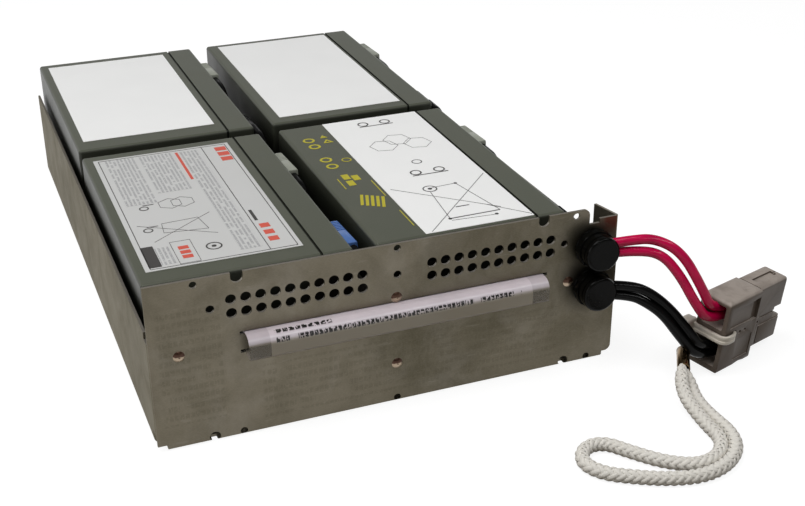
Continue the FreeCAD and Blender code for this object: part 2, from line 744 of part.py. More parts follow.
# The pull rope, measured from the floor under the plug's corner: out of the ferrule, over the
# floor and back to it.
rope_bends = [
    V(-15.6, 0.3, 5.1), V(-19.2, -6.7, 3.7), V(-21.0, -13.4, 3.0), V(-22.3, -21.9, 3.0),
    V(-22.5, -33.4, 3.0), V(-21.9, -44.4, 3.0), V(-26.3, -55.4, 3.0), V(-36.3, -63.4, 3.0),
    V(-49.8, -66.5, 3.0), V(-63.8, -63.1, 3.0), V(-76.8, -56.4, 3.0), V(-87.8, -48.9, 3.0),
    V(-91.5, -38.9, 3.0), V(-85.3, -30.5, 3.0), V(-75.8, -30.7, 3.0), V(-68.8, -40.9, 3.0),
    V(-59.8, -51.9, 3.0), V(-48.3, -58.1, 3.0), V(-36.8, -55.1, 3.0), V(-29.7, -46.4, 3.0),
    V(-28.5, -36.4, 3.1), V(-28.5, -27.4, 4.4), V(-27.7, -18.7, 5.8), V(-25.4, -12.1, 7.6),
    V(-22.0, -6.3, 9.2), V(-18.4, 0.7, 10.6)]
rope_route = [V(plug_corner.x, plug_corner.y, 0) + step for step in rope_bends]
link_bend = plug_corner + V(-10.1, 14.1, 8.9)


def build_ferrule():
    """Crimped ferrule on both ends of the rope, with the wire link that hangs it on the cable tie."""
    foot = (rope_route[0] + rope_route[-1]) * 0.5
    way = (link_bend - foot).normalize()
    stack = rope_route[0] - rope_route[-1]
    stack = (stack - way * stack.dot(way)).normalize()
    thin = way.cross(stack)
    spread = (rope_route[0] - rope_route[-1]).Length / 2
    placement = FreeCAD.Placement(foot, FreeCAD.Rotation(stack, thin, way, "ZXY"))
    half = ferrule_thickness / 2
    block = box(-spread - rope / 2, spread + rope / 2, -half, half, seat_gap / 2, ferrule_length)
    upright = [edge for edge in block.Edges if is_upright(edge)]
    block = block.makeFillet(half - ferrule_flat / 2, upright).transformed(placement.toMatrix())
    head_bottom = plug_height / 2 - tie_head[2] / 2
    link_top = head_bottom - seat_gap - link_wire / 2
    top = plug_point(link_rest_along, plug_thickness + tie_head[1] / 2, link_top)
    side = thin * (link_leg_spacing / 2)
    start = foot + way * (ferrule_length - 1)
    points = [start - side, link_bend - side, top - side, top + side, link_bend + side, start + side]
    radii = [link_bend_radius, link_top_radius, link_top_radius, link_bend_radius]
    link = tube_along(rounded_path(points, radii), link_wire)
    return block.fuse(link).removeSplitter()


def build_inner_leads():
    """Leads held inside the cartridge, by node name."""
    bush_back = front_face + bush_shank_length
    upper, lower = bush_heights
    left_start, right_start = (from_left(bush_x) + side * inner_pitch / 2 for side in (-1, 1))
    gap_line = battery_corner(1, 0).x - column_gap / 2
    battery_side = battery_corner(1, 0).x + battery_width
    side_line = (battery_side + inner_wall) / 2
    front_line = battery_corner(0, 0).y - wire / 2 - front_lead_gap
    low_line = sheet + low_lead_height
    rear_line = battery_corner(0, 0).y - wire / 2 - rear_lead_gap
    run_height = lower - side_lead_drop
    mouths = {}
    for column, row in battery_places.values():
        for end, place in enumerate(tab_places(battery_corner(column, row))):
            mouth_y = place.y + shell_tab_offset - shell[1] + socket_depth
            mouths[column, row, end] = V(place.x + seat_gap + shell[0] / 2, mouth_y, place.z)
    leads = {}
    goal = mouths[0, 0, 0]
    points = [V(left_start, bush_back, upper), V(left_start, front_line, upper),
              V(goal.x, front_line, goal.z), goal]
    leads["left_positive_lead"] = points, [corner_bend] * 2
    goal = mouths[1, 0, 0]
    points = [V(right_start, bush_back, upper), V(right_start, bush_back + upper_lead_straight, upper),
              V(goal.x, goal.y - socket_depth - housing_approach, goal.z), goal]
    leads["right_positive_lead"] = points, [right_lead_bend] * 2
    goal = mouths[0, 1, 1]
    points = [V(left_start, bush_back, lower), V(left_start, rear_line, lower),
              V(left_start, rear_line, low_line), V(gap_line, rear_line, low_line),
              V(gap_line, goal.y - rise_start, low_line), V(goal.x, goal.y - rise_end, goal.z), goal]
    leads["left_negative_lead"] = points, [*floor_bend, climb_bend, climb_bend]
    goal = mouths[1, 1, 1]
    points = [V(right_start, bush_back, lower), V(right_start, bush_back + lower_lead_straight, lower),
              V(side_line, bush_back + side_lead_start, run_height),
              V(side_line, goal.y - rise_start, run_height),
              V(goal.x, goal.y - rise_end, goal.z), goal]
    leads["right_negative_lead"] = points, [side_bend, side_bend, climb_bend, climb_bend]
    for column, name in enumerate(("left_jumper", "right_jumper")):
        start, goal = mouths[column, 0, 1], mouths[column, 1, 0]
        turn_y = start.y - socket_depth - jumper_turn
        points = [start, V(start.x, turn_y, start.z), V(start.x, turn_y, start.z - jumper_drop),
                  V(goal.x, goal.y - jumper_rise_start, goal.z - jumper_drop),
                  V(goal.x, goal.y - jumper_rise_end, goal.z), goal]
        leads[name] = points, [right_lead_bend, right_lead_bend, side_bend, side_bend]
    tubes = {}
    for name, (points, radii) in leads.items():
        tubes[name] = tube_along(rounded_path(points, radii), wire)
    return tubes


def build_cord(name, points, diameter):
    """Free lead or rope: its radii are printed and its volume is compared with section times length."""
    radii = loose_radii(points)
    edges = rounded_path(points, radii)
    solid = tube_along(edges, diameter)
    length = sum(edge.Length for edge in edges)
    share = solid.Volume / (math.pi * diameter ** 2 / 4 * length)
    rounded = [round(radius, 1) for radius in radii]
    print(f"{name}: length {length:.1f}, volume share {share:.4f}, radii {rounded}")
    return solid


def build_parts():
    parts = {"tray": build_tray(), "panel_rivets": build_rivets(), "battery_stop": build_battery_stop(),
             "handle_band": build_handle(), "foam_tape": build_tape()}
    for name, (column, row) in battery_places.items():
        corner = battery_corner(column, row)
        parts[f"battery_case_{name}"] = build_case(corner)
        parts[f"battery_lid_{name}"] = build_lid(corner)
        parts[f"vent_cover_{name}"] = build_vent_strip(corner)
        parts[f"terminals_{name}"] = build_tabs_of(corner)
        parts[f"label_{name}"] = build_label(corner, label_margins[name])
        front, rear = tab_places(corner)
        parts[f"front_insulator_{name}"] = build_shell(front, False)
        parts[f"rear_insulator_{name}"] = build_shell(rear, True)
    parts.update(build_inner_leads())
    for height, name, colour in zip(bush_heights, ("upper", "lower"), ("red", "black")):
        routes = {f"{colour}_lead_{place}": lead_route(height, side, f"{colour}_lead_{place}")
                  for place, side in (("upper", 1), ("lower", -1))}
        parts[f"strain_relief_{name}"] = build_bush(height, routes.values())
        for lead, points in routes.items():
            parts[lead] = build_cord(lead, points, wire)
    parts["plug_housing"] = build_plug()
    for mouth, name in enumerate(("negative", "positive")):
        parts[f"contact_{name}"] = build_contact(mouth)
        parts[f"contact_spring_{name}"] = build_spring(mouth)
    parts["cable_tie"] = build_tie()
    parts["rope_ferrule"] = build_ferrule()
    parts["pull_rope"] = build_cord("pull_rope", rope_route, rope)
    return parts


def main():
    os.makedirs("parts", exist_ok=True)
    for name, shape in build_parts().items():
        if not shape.isValid():
            raise ValueError(f"{name} is not a valid solid")
        shape.exportStep(f"parts/{name}.step")
        print(f"{name}: {len(shape.Solids)} solid(s), {shape.Volume / 1000:.2f} cm3")


if __name__ == "__main__":
    main()
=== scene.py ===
"""Battery cartridge: finishes, free leads, pull rope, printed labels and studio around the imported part."""

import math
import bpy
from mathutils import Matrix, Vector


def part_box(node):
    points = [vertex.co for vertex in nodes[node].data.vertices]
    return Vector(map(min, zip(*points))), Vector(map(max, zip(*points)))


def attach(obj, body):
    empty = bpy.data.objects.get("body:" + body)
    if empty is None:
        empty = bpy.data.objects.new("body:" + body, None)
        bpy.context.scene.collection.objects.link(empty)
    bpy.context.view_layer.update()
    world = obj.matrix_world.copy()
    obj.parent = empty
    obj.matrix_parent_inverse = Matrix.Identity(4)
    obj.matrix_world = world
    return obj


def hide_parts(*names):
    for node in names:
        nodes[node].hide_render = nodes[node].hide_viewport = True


bl_info = {
    "name": "Battery Cartridge",
    "version": (1, 0, 0),
    "blender": (4, 5, 0),
    "location": "View3D > Sidebar > Cartridge",
    "description": "Finishes, free leads, rope, label prints and stage of a rack battery cartridge",
    "category": "Object",
}

import bpy
from mathutils import Matrix, Vector

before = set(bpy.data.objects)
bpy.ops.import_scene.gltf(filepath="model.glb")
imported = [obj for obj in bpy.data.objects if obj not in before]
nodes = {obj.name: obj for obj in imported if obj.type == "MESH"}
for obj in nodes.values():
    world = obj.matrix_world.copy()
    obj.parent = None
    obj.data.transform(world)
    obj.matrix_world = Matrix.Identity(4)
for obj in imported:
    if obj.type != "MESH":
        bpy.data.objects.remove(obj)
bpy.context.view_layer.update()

MM = 0.001
BATTERIES = ("front_left", "front_right", "rear_left", "rear_right")

# Routes of the free leads, from the strain relief to the contact in the plug's mouth.
LEAD_ROUTES = {
    "red_lead_upper": ((0.1, -0.177, 0.0638), (0.1075, -0.1804, 0.0656), (0.1175, -0.1845, 0.0665),
                       (0.1275, -0.1915, 0.0611), (0.1347, -0.199, 0.0457), (0.1402, -0.2008, 0.0333),
                       (0.1525, -0.1963, 0.0324)),
    "red_lead_lower": ((0.1, -0.177, 0.0591), (0.109, -0.1812, 0.0606), (0.1195, -0.1876, 0.0602),
                       (0.1265, -0.194, 0.0504), (0.1318, -0.1998, 0.038), (0.1386, -0.2012, 0.0286),
                       (0.1522, -0.1961, 0.0277)),
    "black_lead_upper": ((0.1, -0.177, 0.04265), (0.1095, -0.1815, 0.0429), (0.1174, -0.1857, 0.0394),
                         (0.1253, -0.1904, 0.032), (0.1315, -0.1969, 0.0228), (0.137, -0.201, 0.0142),
                         (0.1512, -0.1956, 0.013)),
    "black_lead_lower": ((0.1, -0.177, 0.03795), (0.109, -0.1812, 0.038), (0.1153, -0.1859, 0.035),
                         (0.1216, -0.1908, 0.0299), (0.1273, -0.196, 0.0207), (0.1354, -0.2014, 0.0095),
                         (0.1509, -0.1954, 0.0084)),
}

# Route of the pull rope: out of the clip, over the floor and back to it.
ROPE_ROUTE = ((0.1250, -0.2068, 0.0089), (0.1248, -0.2122, 0.0044), (0.1228, -0.2187, 0.003),
              (0.121, -0.227, 0.003), (0.1208, -0.2385, 0.003), (0.1214, -0.2495, 0.003),
              (0.117, -0.2605, 0.003), (0.107, -0.2685, 0.003), (0.0935, -0.2716, 0.003),
              (0.0795, -0.2682, 0.003), (0.0665, -0.2615, 0.003), (0.0555, -0.254, 0.003),
              (0.0518, -0.244, 0.003), (0.058, -0.2356, 0.003), (0.0675, -0.2358, 0.003),
              (0.0745, -0.246, 0.003), (0.084, -0.2576, 0.003), (0.0956, -0.2645, 0.003),
              (0.1078, -0.2615, 0.003), (0.1148, -0.252, 0.003), (0.1149, -0.2415, 0.0031),
              (0.1148, -0.2325, 0.0044), (0.1154, -0.2237, 0.0058), (0.1172, -0.2169, 0.0076),
              (0.1200, -0.2114, 0.0098), (0.1234, -0.2066, 0.0112))

# The plug's own axes: X from the wire mouths to the nose's tip, Y through it from its front side, Z up.
PLUG_PLACE = (Matrix.Translation((0.1433, -0.2051, 0.0016)) @ Matrix.Rotation(math.radians(20.5), 4, "Z")
              @ Matrix.Rotation(math.radians(2.8), 4, "Y") @ Matrix.Rotation(math.radians(4.7), 4, "X"))


HOUSING_SIZE = (24.0, 8.6)      # length and full height of a terminal housing, in millimetres

# Fields of stamped rows on the panel, in metres: left, right, bottom, and how far below the top they end.
STAMPED_FIELDS = ((-0.06, 0.078, 0.007, 0.046), (-0.103, -0.078, 0.012, 0.012))


# ---- settings ----

def colour_setting(name, description, default):
    """Colour setting in linear light."""
    return bpy.props.FloatVectorProperty(name=name, description=description, subtype="COLOR",
                                         size=3, min=0.0, max=1.0, default=default)


def length_setting(name, description, default):
    """Length setting in metres."""
    return bpy.props.FloatProperty(name=name, description=description, default=default,
                                   unit="LENGTH", subtype="DISTANCE", precision=5)


class CartridgeSizes(bpy.types.PropertyGroup):
    wire: length_setting("Wire", "Outer diameter of the free leads", 0.0046)
    rope: length_setting("Rope", "Outer diameter of the pull rope", 0.006)
    rope_lay: length_setting("Rope lay", "Length in which a strand goes once round the rope", 0.0195)
    rope_strands: bpy.props.IntProperty(name="Strands", description="Strands that turn each way",
                                        default=6, min=4, max=16)
    print_rise: length_setting("Print rise", "Thickness of the printed shapes", 0.00006)


class CartridgeColours(bpy.types.PropertyGroup):
    steel: colour_setting("Steel", "Galvanised sheet", (0.170, 0.150, 0.112))
    steel_dark: colour_setting("Dull steel", "Duller patches of the sheet", (0.075, 0.066, 0.043))
    # Bare metal: used for scuffs, and as a painted highlight on the cut edges that face up.
    bare_metal_and_highlight: colour_setting("Cut edge", "Bare metal along the sheet's cut edges", (0.42, 0.39, 0.35))
    # Colour of the painted shadow laid round the strain reliefs on the panel.
    wear_and_shadow: colour_setting("Rubbed ring", "Steel rubbed dark round the strain reliefs", (0.012, 0.01, 0.007))
    stain: colour_setting("Stain", "Brown patch at the panel's top right corner", (0.11, 0.025, 0.015))
    steel_hidden: colour_setting("Spacer", "Steel of the spacer behind the panel", (0.03, 0.027, 0.022))
    spring: colour_setting("Spring steel", "Contact springs of the plug", (0.45, 0.44, 0.42))
    battery: colour_setting("Battery", "Container and lid", (0.080, 0.086, 0.063))
    battery_worn: colour_setting("Battery marks", "Rubbed places of the container", (0.11, 0.11, 0.085))
    paper: colour_setting("Label", "Plain label", (0.90, 0.90, 0.89))
    paper_grey: colour_setting("Grey label", "Label with printed fields", (0.575, 0.575, 0.565))
    print_dark: colour_setting("Dark print", "Lines and marks on the labels", (0.045, 0.042, 0.04))
    print_grey: colour_setting("Fine print", "Rows of fine print", (0.26, 0.26, 0.27))
    print_red: colour_setting("Red print", "Red marks on the labels", (0.56, 0.085, 0.055))
    print_yellow: colour_setting("Yellow print", "Marks on the container", (0.42, 0.37, 0.02))
    film: colour_setting("Film", "Milky top of the handle band", (0.62, 0.55, 0.585))
    film_low: colour_setting("Film front", "Front of the handle band, with the steel showing through",
                             (0.46, 0.415, 0.33))
    # Painted highlight along the band's top edge.
    film_highlight: colour_setting("Film light", "Light line along the band's top edge", (0.8, 0.75, 0.8))
    # Painted highlight along the band's lower edge.
    film_rim_highlight: colour_setting("Film rim", "Pale line along the band's lower edge", (0.6, 0.52, 0.5))
    red_wire: colour_setting("Red wire", "Jacket of the positive leads", (0.54, 0.003, 0.065))
    black_wire: colour_setting("Black wire", "Jacket of the negative leads", (0.003, 0.003, 0.003))
    black_worn: colour_setting("Worn black", "Dull patches of the negative leads", (0.006, 0.006, 0.006))
    # Marks on the black that stands for the painted shade on the inner positive leads.
    shade_black_worn: colour_setting("Worn sleeve", "Dull patches of the inner leads' sleeve", (0.008, 0.008, 0.008))
    bush: colour_setting("Strain relief", "Glossy black nylon", (0.0025, 0.0025, 0.0022))
    plug: colour_setting("Plug", "Warm grey polycarbonate", (0.35, 0.303, 0.266))
    # Painted shade colour of the plug's sides; the handling marks use a darker share of it.
    plug_shade_and_marks: colour_setting("Plug side", "Handled sides of the plug", (0.078, 0.057, 0.041))
    nylon: colour_setting("Natural nylon", "Pale terminal housings", (0.33, 0.345, 0.29))
    blue_nylon: colour_setting("Blue nylon", "Housing of the first terminal", (0.08, 0.17, 0.43))
    tie: colour_setting("Cable tie", "Natural nylon tie", (0.66, 0.61, 0.53))
    rope: colour_setting("Rope", "Bleached yarn", (0.80, 0.775, 0.72))
    rope_soiled: colour_setting("Soiled rope", "Soft soiled patches of the rope", (0.66, 0.6, 0.5))
    rivet: colour_setting("Rivet", "Coppered upper half of the rivets", (0.06, 0.026, 0.014))
    # Painted reflection of the pale floor on the rivets' lower half.
    rivet_floor_reflection: colour_setting("Rubbed rivet", "Lower half of the rivets", (0.46, 0.36, 0.26))
    brass: colour_setting("Brass", "Clip of the pull rope", (0.24, 0.16, 0.08))
    tin: colour_setting("Tin", "Tinned and silvered terminals", (0.72, 0.71, 0.68))
    foam: colour_setting("Foam", "Foam tape", (0.02, 0.02, 0.022))
    floor: colour_setting("Floor", "Floor as the eye sees it, under its own light", (0.22, 0.22, 0.22))
    bounce: colour_setting("Bounce", "Light that the floor gives back to the object", (0.19, 0.165, 0.13))


class CartridgeStage(bpy.types.PropertyGroup):
    camera_place: bpy.props.FloatVectorProperty(name="Camera", description="Where the camera stands",
                                                subtype="TRANSLATION", unit="LENGTH", size=3,
                                                default=(-0.17724, -0.629, 0.31951))
    camera_heading: bpy.props.FloatProperty(name="Heading", description="From +Y toward +X",
                                            subtype="ANGLE", default=math.radians(21.380))
    camera_pitch: bpy.props.FloatProperty(name="Pitch", description="Above the horizon",
                                          subtype="ANGLE", default=math.radians(-26.466))
    camera_roll: bpy.props.FloatProperty(name="Roll", description="Turn about the line of sight",
                                         subtype="ANGLE", default=math.radians(-0.344))
    camera_lens: bpy.props.FloatProperty(name="Lens", description="Focal length in millimetres",
                                         default=58.218)
    floor_size: length_setting("Floor size", "Side of the square floor", 8.0)
    top_lamp: bpy.props.FloatProperty(name="Top lamp", description="Softbox above the object",
                                      unit="POWER", default=7.8)
    left_lamp: bpy.props.FloatProperty(name="Left lamp", description="Softbox at the left",
                                       unit="POWER", default=3.4)
    strip_lamp: bpy.props.FloatProperty(name="Strip lamp", description="Narrow lamp for highlights",
                                        unit="POWER", default=4.0)
    floor_glow: bpy.props.FloatProperty(name="Floor glow", description="Brightness that makes the seen floor white",
                                        default=0.87)
    sky: bpy.props.FloatProperty(name="Sky", description="Brightness of the surroundings", default=0.17)


# ---- node helpers ----

def new_node(tree, kind, inputs=None, **settings):
    """Node with its settings and the values or links of its inputs."""
    node = tree.nodes.new(kind)
    for name, value in settings.items():
        setattr(node, name, value)
    for name, value in (inputs or {}).items():
        if isinstance(value, bpy.types.NodeSocket):
            tree.links.new(value, node.inputs[name])
        else:
            node.inputs[name].default_value = value
    return node


def rgba(colour):
    return (*colour, 1.0)


def scaled(colour, share):
    """Colour made darker or lighter by a share."""
    return tuple(min(1.0, channel * share) for channel in colour)


def maths(tree, operation, first, second=None, third=None, clamp=False):
    """Result of one sum on values or sockets."""
    given = {index: value for index, value in enumerate((first, second, third)) if value is not None}
    return new_node(tree, "ShaderNodeMath", given, operation=operation, use_clamp=clamp).outputs[0]


def product(tree, first, *others, clamp=False):
    """Values multiplied together."""
    for other in others:
        first = maths(tree, "MULTIPLY", first, other, clamp=clamp)
    return first


def blended(tree, mask, first, second):
    """Colour that goes from the first to the second with the mask."""
    return new_node(tree, "ShaderNodeMix", {0: mask, 6: first, 7: second}, data_type="RGBA").outputs[2]


def covered(tree, tint, mask, amount, colour):
    """Colour with another laid over it where the mask is on, up to an amount."""
    return blended(tree, maths(tree, "MULTIPLY", mask, amount), tint, rgba(colour))


def ramp(tree, value, low, high):
    """Value brought from its low..high range to 0..1."""
    return new_node(tree, "ShaderNodeMapRange", {0: value, 1: low, 2: high, 3: 0.0, 4: 1.0},
                    interpolation_type="SMOOTHSTEP").outputs[0]


def within(tree, value, low, high, soft):
    """Mask of the places where a value lies between two limits."""
    return product(tree, ramp(tree, value, low - soft, low), ramp(tree, value, high + soft, high))


def axes(tree, vector):
    """The three parts of a vector."""
    return new_node(tree, "ShaderNodeSeparateXYZ", {0: vector}).outputs


def flat_place(tree, x, y):
    """Place in a plane, from its two parts."""
    return new_node(tree, "ShaderNodeCombineXYZ", {0: x, 1: y}).outputs[0]


def facing_up(tree):
    """How far a surface faces upward, from -1 to 1."""
    return axes(tree, new_node(tree, "ShaderNodeNewGeometry").outputs["Normal"])[2]


def noise(tree, place, scale, detail, roughness=0.5, distortion=0.0):
    """Cloudy value between 0 and 1."""
    return new_node(tree, "ShaderNodeTexNoise", {"Vector": place, "Scale": scale, "Detail": detail,
                                                 "Roughness": roughness, "Distortion": distortion}).outputs[0]


def turned(tree, place, rotation=(0.0, 0.0, 0.0), scale=(1.0, 1.0, 1.0)):
    """Place turned and stretched."""
    return new_node(tree, "ShaderNodeMapping", {"Vector": place, "Rotation": rotation, "Scale": scale}).outputs[0]


def bumped(tree, height, strength, distance):
    """Normal of a surface that rises and falls with a value."""
    return new_node(tree, "ShaderNodeBump", {"Strength": strength, "Distance": distance,
                                             "Height": height}).outputs[0]


def seen_rays(tree):
    """Mask of the rays by which a thing is seen: straight, mirrored or through film."""
    path = new_node(tree, "ShaderNodeLightPath").outputs
    return maths(tree, "ADD", maths(tree, "ADD", path["Is Camera Ray"], path["Is Glossy Ray"]),
                 path["Is Transmission Ray"], clamp=True)


def new_group(name, inputs, outputs):
    """Empty shader group with its sockets, and the sockets inside it to read from and to fill."""
    group = bpy.data.node_groups.new(name, "ShaderNodeTree")
    for label, default in inputs.items():
        kind = "NodeSocketVector" if default is None else "NodeSocketFloat"
        socket = group.interface.new_socket(label, in_out="INPUT", socket_type=kind)
        if default is not None:
            socket.default_value = default
    for label, kind in outputs.items():
        group.interface.new_socket(label, in_out="OUTPUT", socket_type=kind)
    return group, group.nodes.new("NodeGroupInput").outputs, group.nodes.new("NodeGroupOutput").inputs


def grain_group():
    """Fine even grain of a moulded or coated surface, as a value and a normal."""
    name = "Fine grain"
    if name in bpy.data.node_groups:
        return bpy.data.node_groups[name]
    group, given, result = new_group(name, {"Vector": None, "Scale": 1500.0, "Depth": 0.2},
                                     {"Value": "NodeSocketFloat", "Normal": "NodeSocketVector"})
    grain = noise(group, given["Vector"], given["Scale"], 3.0, 0.55)
    group.links.new(grain, result["Value"])
    group.links.new(bumped(group, grain, given["Depth"], 0.0002), result["Normal"])
    return group


def marks_group():
    """Handling marks: soft smudges and short scratches, as one mask."""
    name = "Handling marks"
    if name in bpy.data.node_groups:
        return bpy.data.node_groups[name]
    group, given, result = new_group(name, {"Vector": None, "Smudge scale": 30.0, "Scratch scale": 90.0,
                                            "Amount": 0.5}, {"Mask": "NodeSocketFloat"})
    smudge = noise(group, given["Vector"], given["Smudge scale"], 5.0, 0.6, 0.6)
    stretched = turned(group, given["Vector"], (0.3, 0.2, 0.5), (1.0, 14.0, 6.0))
    scratch = ramp(group, noise(group, stretched, given["Scratch scale"], 2.0), 0.66, 0.72)
    both = maths(group, "ADD", ramp(group, smudge, 0.42, 0.74), maths(group, "MULTIPLY", scratch, 0.5))
    group.links.new(product(group, both, given["Amount"], clamp=True), result["Mask"])
    return group


def rows_group():
    """Rows of short uneven marks with gaps between words, along Y, one row after another along X."""
    name = "Print rows"
    if name in bpy.data.node_groups:
        return bpy.data.node_groups[name]
    group, given, result = new_group(name, {"Vector": None, "Row pitch": 0.0018, "Density": 0.5},
                                     {"Mask": "NodeSocketFloat"})
    letters_per_metre, words_per_metre = 800.0, 260.0
    down, along, _ = axes(group, given["Vector"])
    row = maths(group, "DIVIDE", down, given["Row pitch"])
    in_row = maths(group, "FRACT", row)
    line = product(group, ramp(group, in_row, 0.14, 0.34), ramp(group, in_row, 0.9, 0.7))
    letter = maths(group, "MULTIPLY", along, letters_per_metre)
    in_letter = maths(group, "FRACT", letter)
    apart = product(group, ramp(group, in_letter, 0.02, 0.16), ramp(group, in_letter, 0.98, 0.84))
    strokes = noise(group, flat_place(group, maths(group, "MULTIPLY", row, 3.4),
                                      maths(group, "MULTIPLY", letter, 1.7)), 1.0, 1.0)
    words = noise(group, flat_place(group, maths(group, "MULTIPLY", maths(group, "FLOOR", row), 5.3),
                                    maths(group, "MULTIPLY", along, words_per_metre)), 1.0, 0.0)
    inked = product(group, ramp(group, strokes, 0.38, 0.46), apart, ramp(group, words, 0.33, 0.38))
    mask = maths(group, "MULTIPLY", product(group, line, inked), given["Density"], clamp=True)
    group.links.new(mask, result["Mask"])
    return group


def use_group(tree, group, **inputs):
    """Outputs of a shared group, whose inputs are named with underscores for spaces."""
    values = {name.replace("_", " "): value for name, value in inputs.items()}
    return new_node(tree, "ShaderNodeGroup", values, node_tree=group).outputs


def new_material(name, roughness, metallic=0.0, specular=0.5, coat=0.0):
    """Material with a Principled shader, its tree and its object coordinates."""
    material = bpy.data.materials.new(name)
    material.use_nodes = True
    tree = material.node_tree
    shader = tree.nodes["Principled BSDF"]
    shader.inputs["Roughness"].default_value = roughness
    shader.inputs["Metallic"].default_value = metallic
    shader.inputs["Specular IOR Level"].default_value = specular
    shader.inputs["Coat Weight"].default_value = coat
    place = new_node(tree, "ShaderNodeTexCoord").outputs["Object"]
    return material, tree, shader, place


def connect(tree, shader, **sockets):
    """Link sockets to the shader's inputs, named with underscores for spaces."""
    for name, socket in sockets.items():
        tree.links.new(socket, shader.inputs[name.replace("_", " ")])


# ---- finishes ----

def moulded(name, colour, worn, roughness, grain=1400.0, depth=0.12, marks=0.35, specular=0.25):
    """Moulded plastic: fine grain, soft smudges and a little worn colour."""
    material, tree, shader, place = new_material(name, roughness, specular=specular)
    value, normal = use_group(tree, grain_group(), Vector=place, Scale=grain, Depth=depth)
    wear_and_shadow = use_group(tree, marks_group(), Vector=place, Amount=marks)[0]
    rough = maths(tree, "ADD", maths(tree, "MULTIPLY", wear_and_shadow, 0.18),
                  maths(tree, "MULTIPLY_ADD", value, 0.1, roughness - 0.05))
    connect(tree, shader, Base_Color=blended(tree, wear_and_shadow, rgba(colour), rgba(worn)), Roughness=rough,
            Normal=normal)
    return material


def distance_from(tree, places, centre):
    """Distance from a centre, in the plane of two axes."""
    squares = [maths(tree, "POWER", maths(tree, "ABSOLUTE", maths(tree, "SUBTRACT", place, middle)), 2.0)
               for place, middle in zip(places, centre)]
    return maths(tree, "SQRT", maths(tree, "ADD", *squares))


def steel_finish(colours, front, top, reliefs):
    """Galvanised sheet: grain, dull patches, bare cut edges with a painted highlight where they face up, and
    stamped rows and a painted shadow ring round each strain relief on the panel.
    """
    material, tree, shader, place = new_material("galvanised_steel", 0.4, metallic=0.85)
    shader.inputs["Specular Tint"].default_value = (0.5, 0.48, 0.42, 1.0)
    across, depth, height = axes(tree, place)
    grain = noise(tree, turned(tree, place, scale=(1.0, 1.0, 3.0)), 900.0, 4.0, 0.7)
    blotches = noise(tree, place, 55.0, 5.0, 0.6, 0.5)
    patches = noise(tree, place, 11.0, 3.0, 0.5, 0.4)
    marks = use_group(tree, marks_group(), Vector=place, Smudge_scale=45.0, Amount=0.6)[0]
    dull = maths(tree, "MULTIPLY_ADD", ramp(tree, patches, 0.38, 0.68), 0.42,
                 maths(tree, "MULTIPLY", ramp(tree, blotches, 0.35, 0.7), 0.26))
    # Darker towards the lower right of the sheet.
    low_right = product(tree, ramp(tree, across, -0.03, 0.06), ramp(tree, height, 0.055, 0.03))
    dull = maths(tree, "MULTIPLY_ADD", low_right, 0.22, dull)
    dull = maths(tree, "MULTIPLY_ADD", ramp(tree, grain, 0.35, 0.65), 0.22, dull, clamp=True)
    tint = blended(tree, dull, rgba(colours.steel), rgba(colours.steel_dark))
    tint = covered(tree, tint, marks, 0.2, colours.bare_metal_and_highlight)

    on_front = ramp(tree, depth, front + 0.0004, front + 0.0002)
    fields = [product(tree, within(tree, across, left, right, 0.002),
                      within(tree, height, bottom, top - below_top, 0.001))
              for left, right, bottom, below_top in STAMPED_FIELDS]
    rows = use_group(tree, rows_group(), Vector=flat_place(tree, height, maths(tree, "MULTIPLY", across, 0.55)),
                     Row_pitch=0.0044, Density=1.0)[0]
    stamped = product(tree, rows, on_front, maths(tree, "ADD", *fields, clamp=True))
    tint = covered(tree, tint, stamped, 0.24, colours.steel_dark)
    # Painted shadow: the panel is darkened in a soft ring round each strain relief.
    for low, high in reliefs:
        centre = (low + high) / 2
        out = distance_from(tree, (across, height), (centre.x, centre.z))
        edge = high.z - centre.z
        wear_and_shadow = product(tree, ramp(tree, out, edge + 0.009, edge - 0.001), on_front)
        tint = covered(tree, tint, wear_and_shadow, 0.72, colours.wear_and_shadow)
    corner = product(tree, ramp(tree, across, 0.099, 0.102), on_front,
                     ramp(tree, height, top - 0.014, top - 0.009), ramp(tree, blotches, 0.42, 0.52))
    tint = covered(tree, tint, corner, 0.75, colours.stain)

    # Painted highlight: cut edges and hole rims that face up are lightened as if lit from above; the bare metal
    # colour itself is real.
    cut = product(tree, ramp(tree, facing_up(tree), 0.35, 0.6), ramp(tree, height, 0.0025, 0.0035))
    tint = covered(tree, tint, cut, 0.75, colours.bare_metal_and_highlight)
    relief = maths(tree, "SUBTRACT", maths(tree, "MULTIPLY", grain, 0.35), stamped)
    connect(tree, shader, Base_Color=tint, Roughness=maths(tree, "MULTIPLY_ADD", blotches, 0.25, 0.3),
            Normal=bumped(tree, relief, 0.25, 0.00012))
    return material


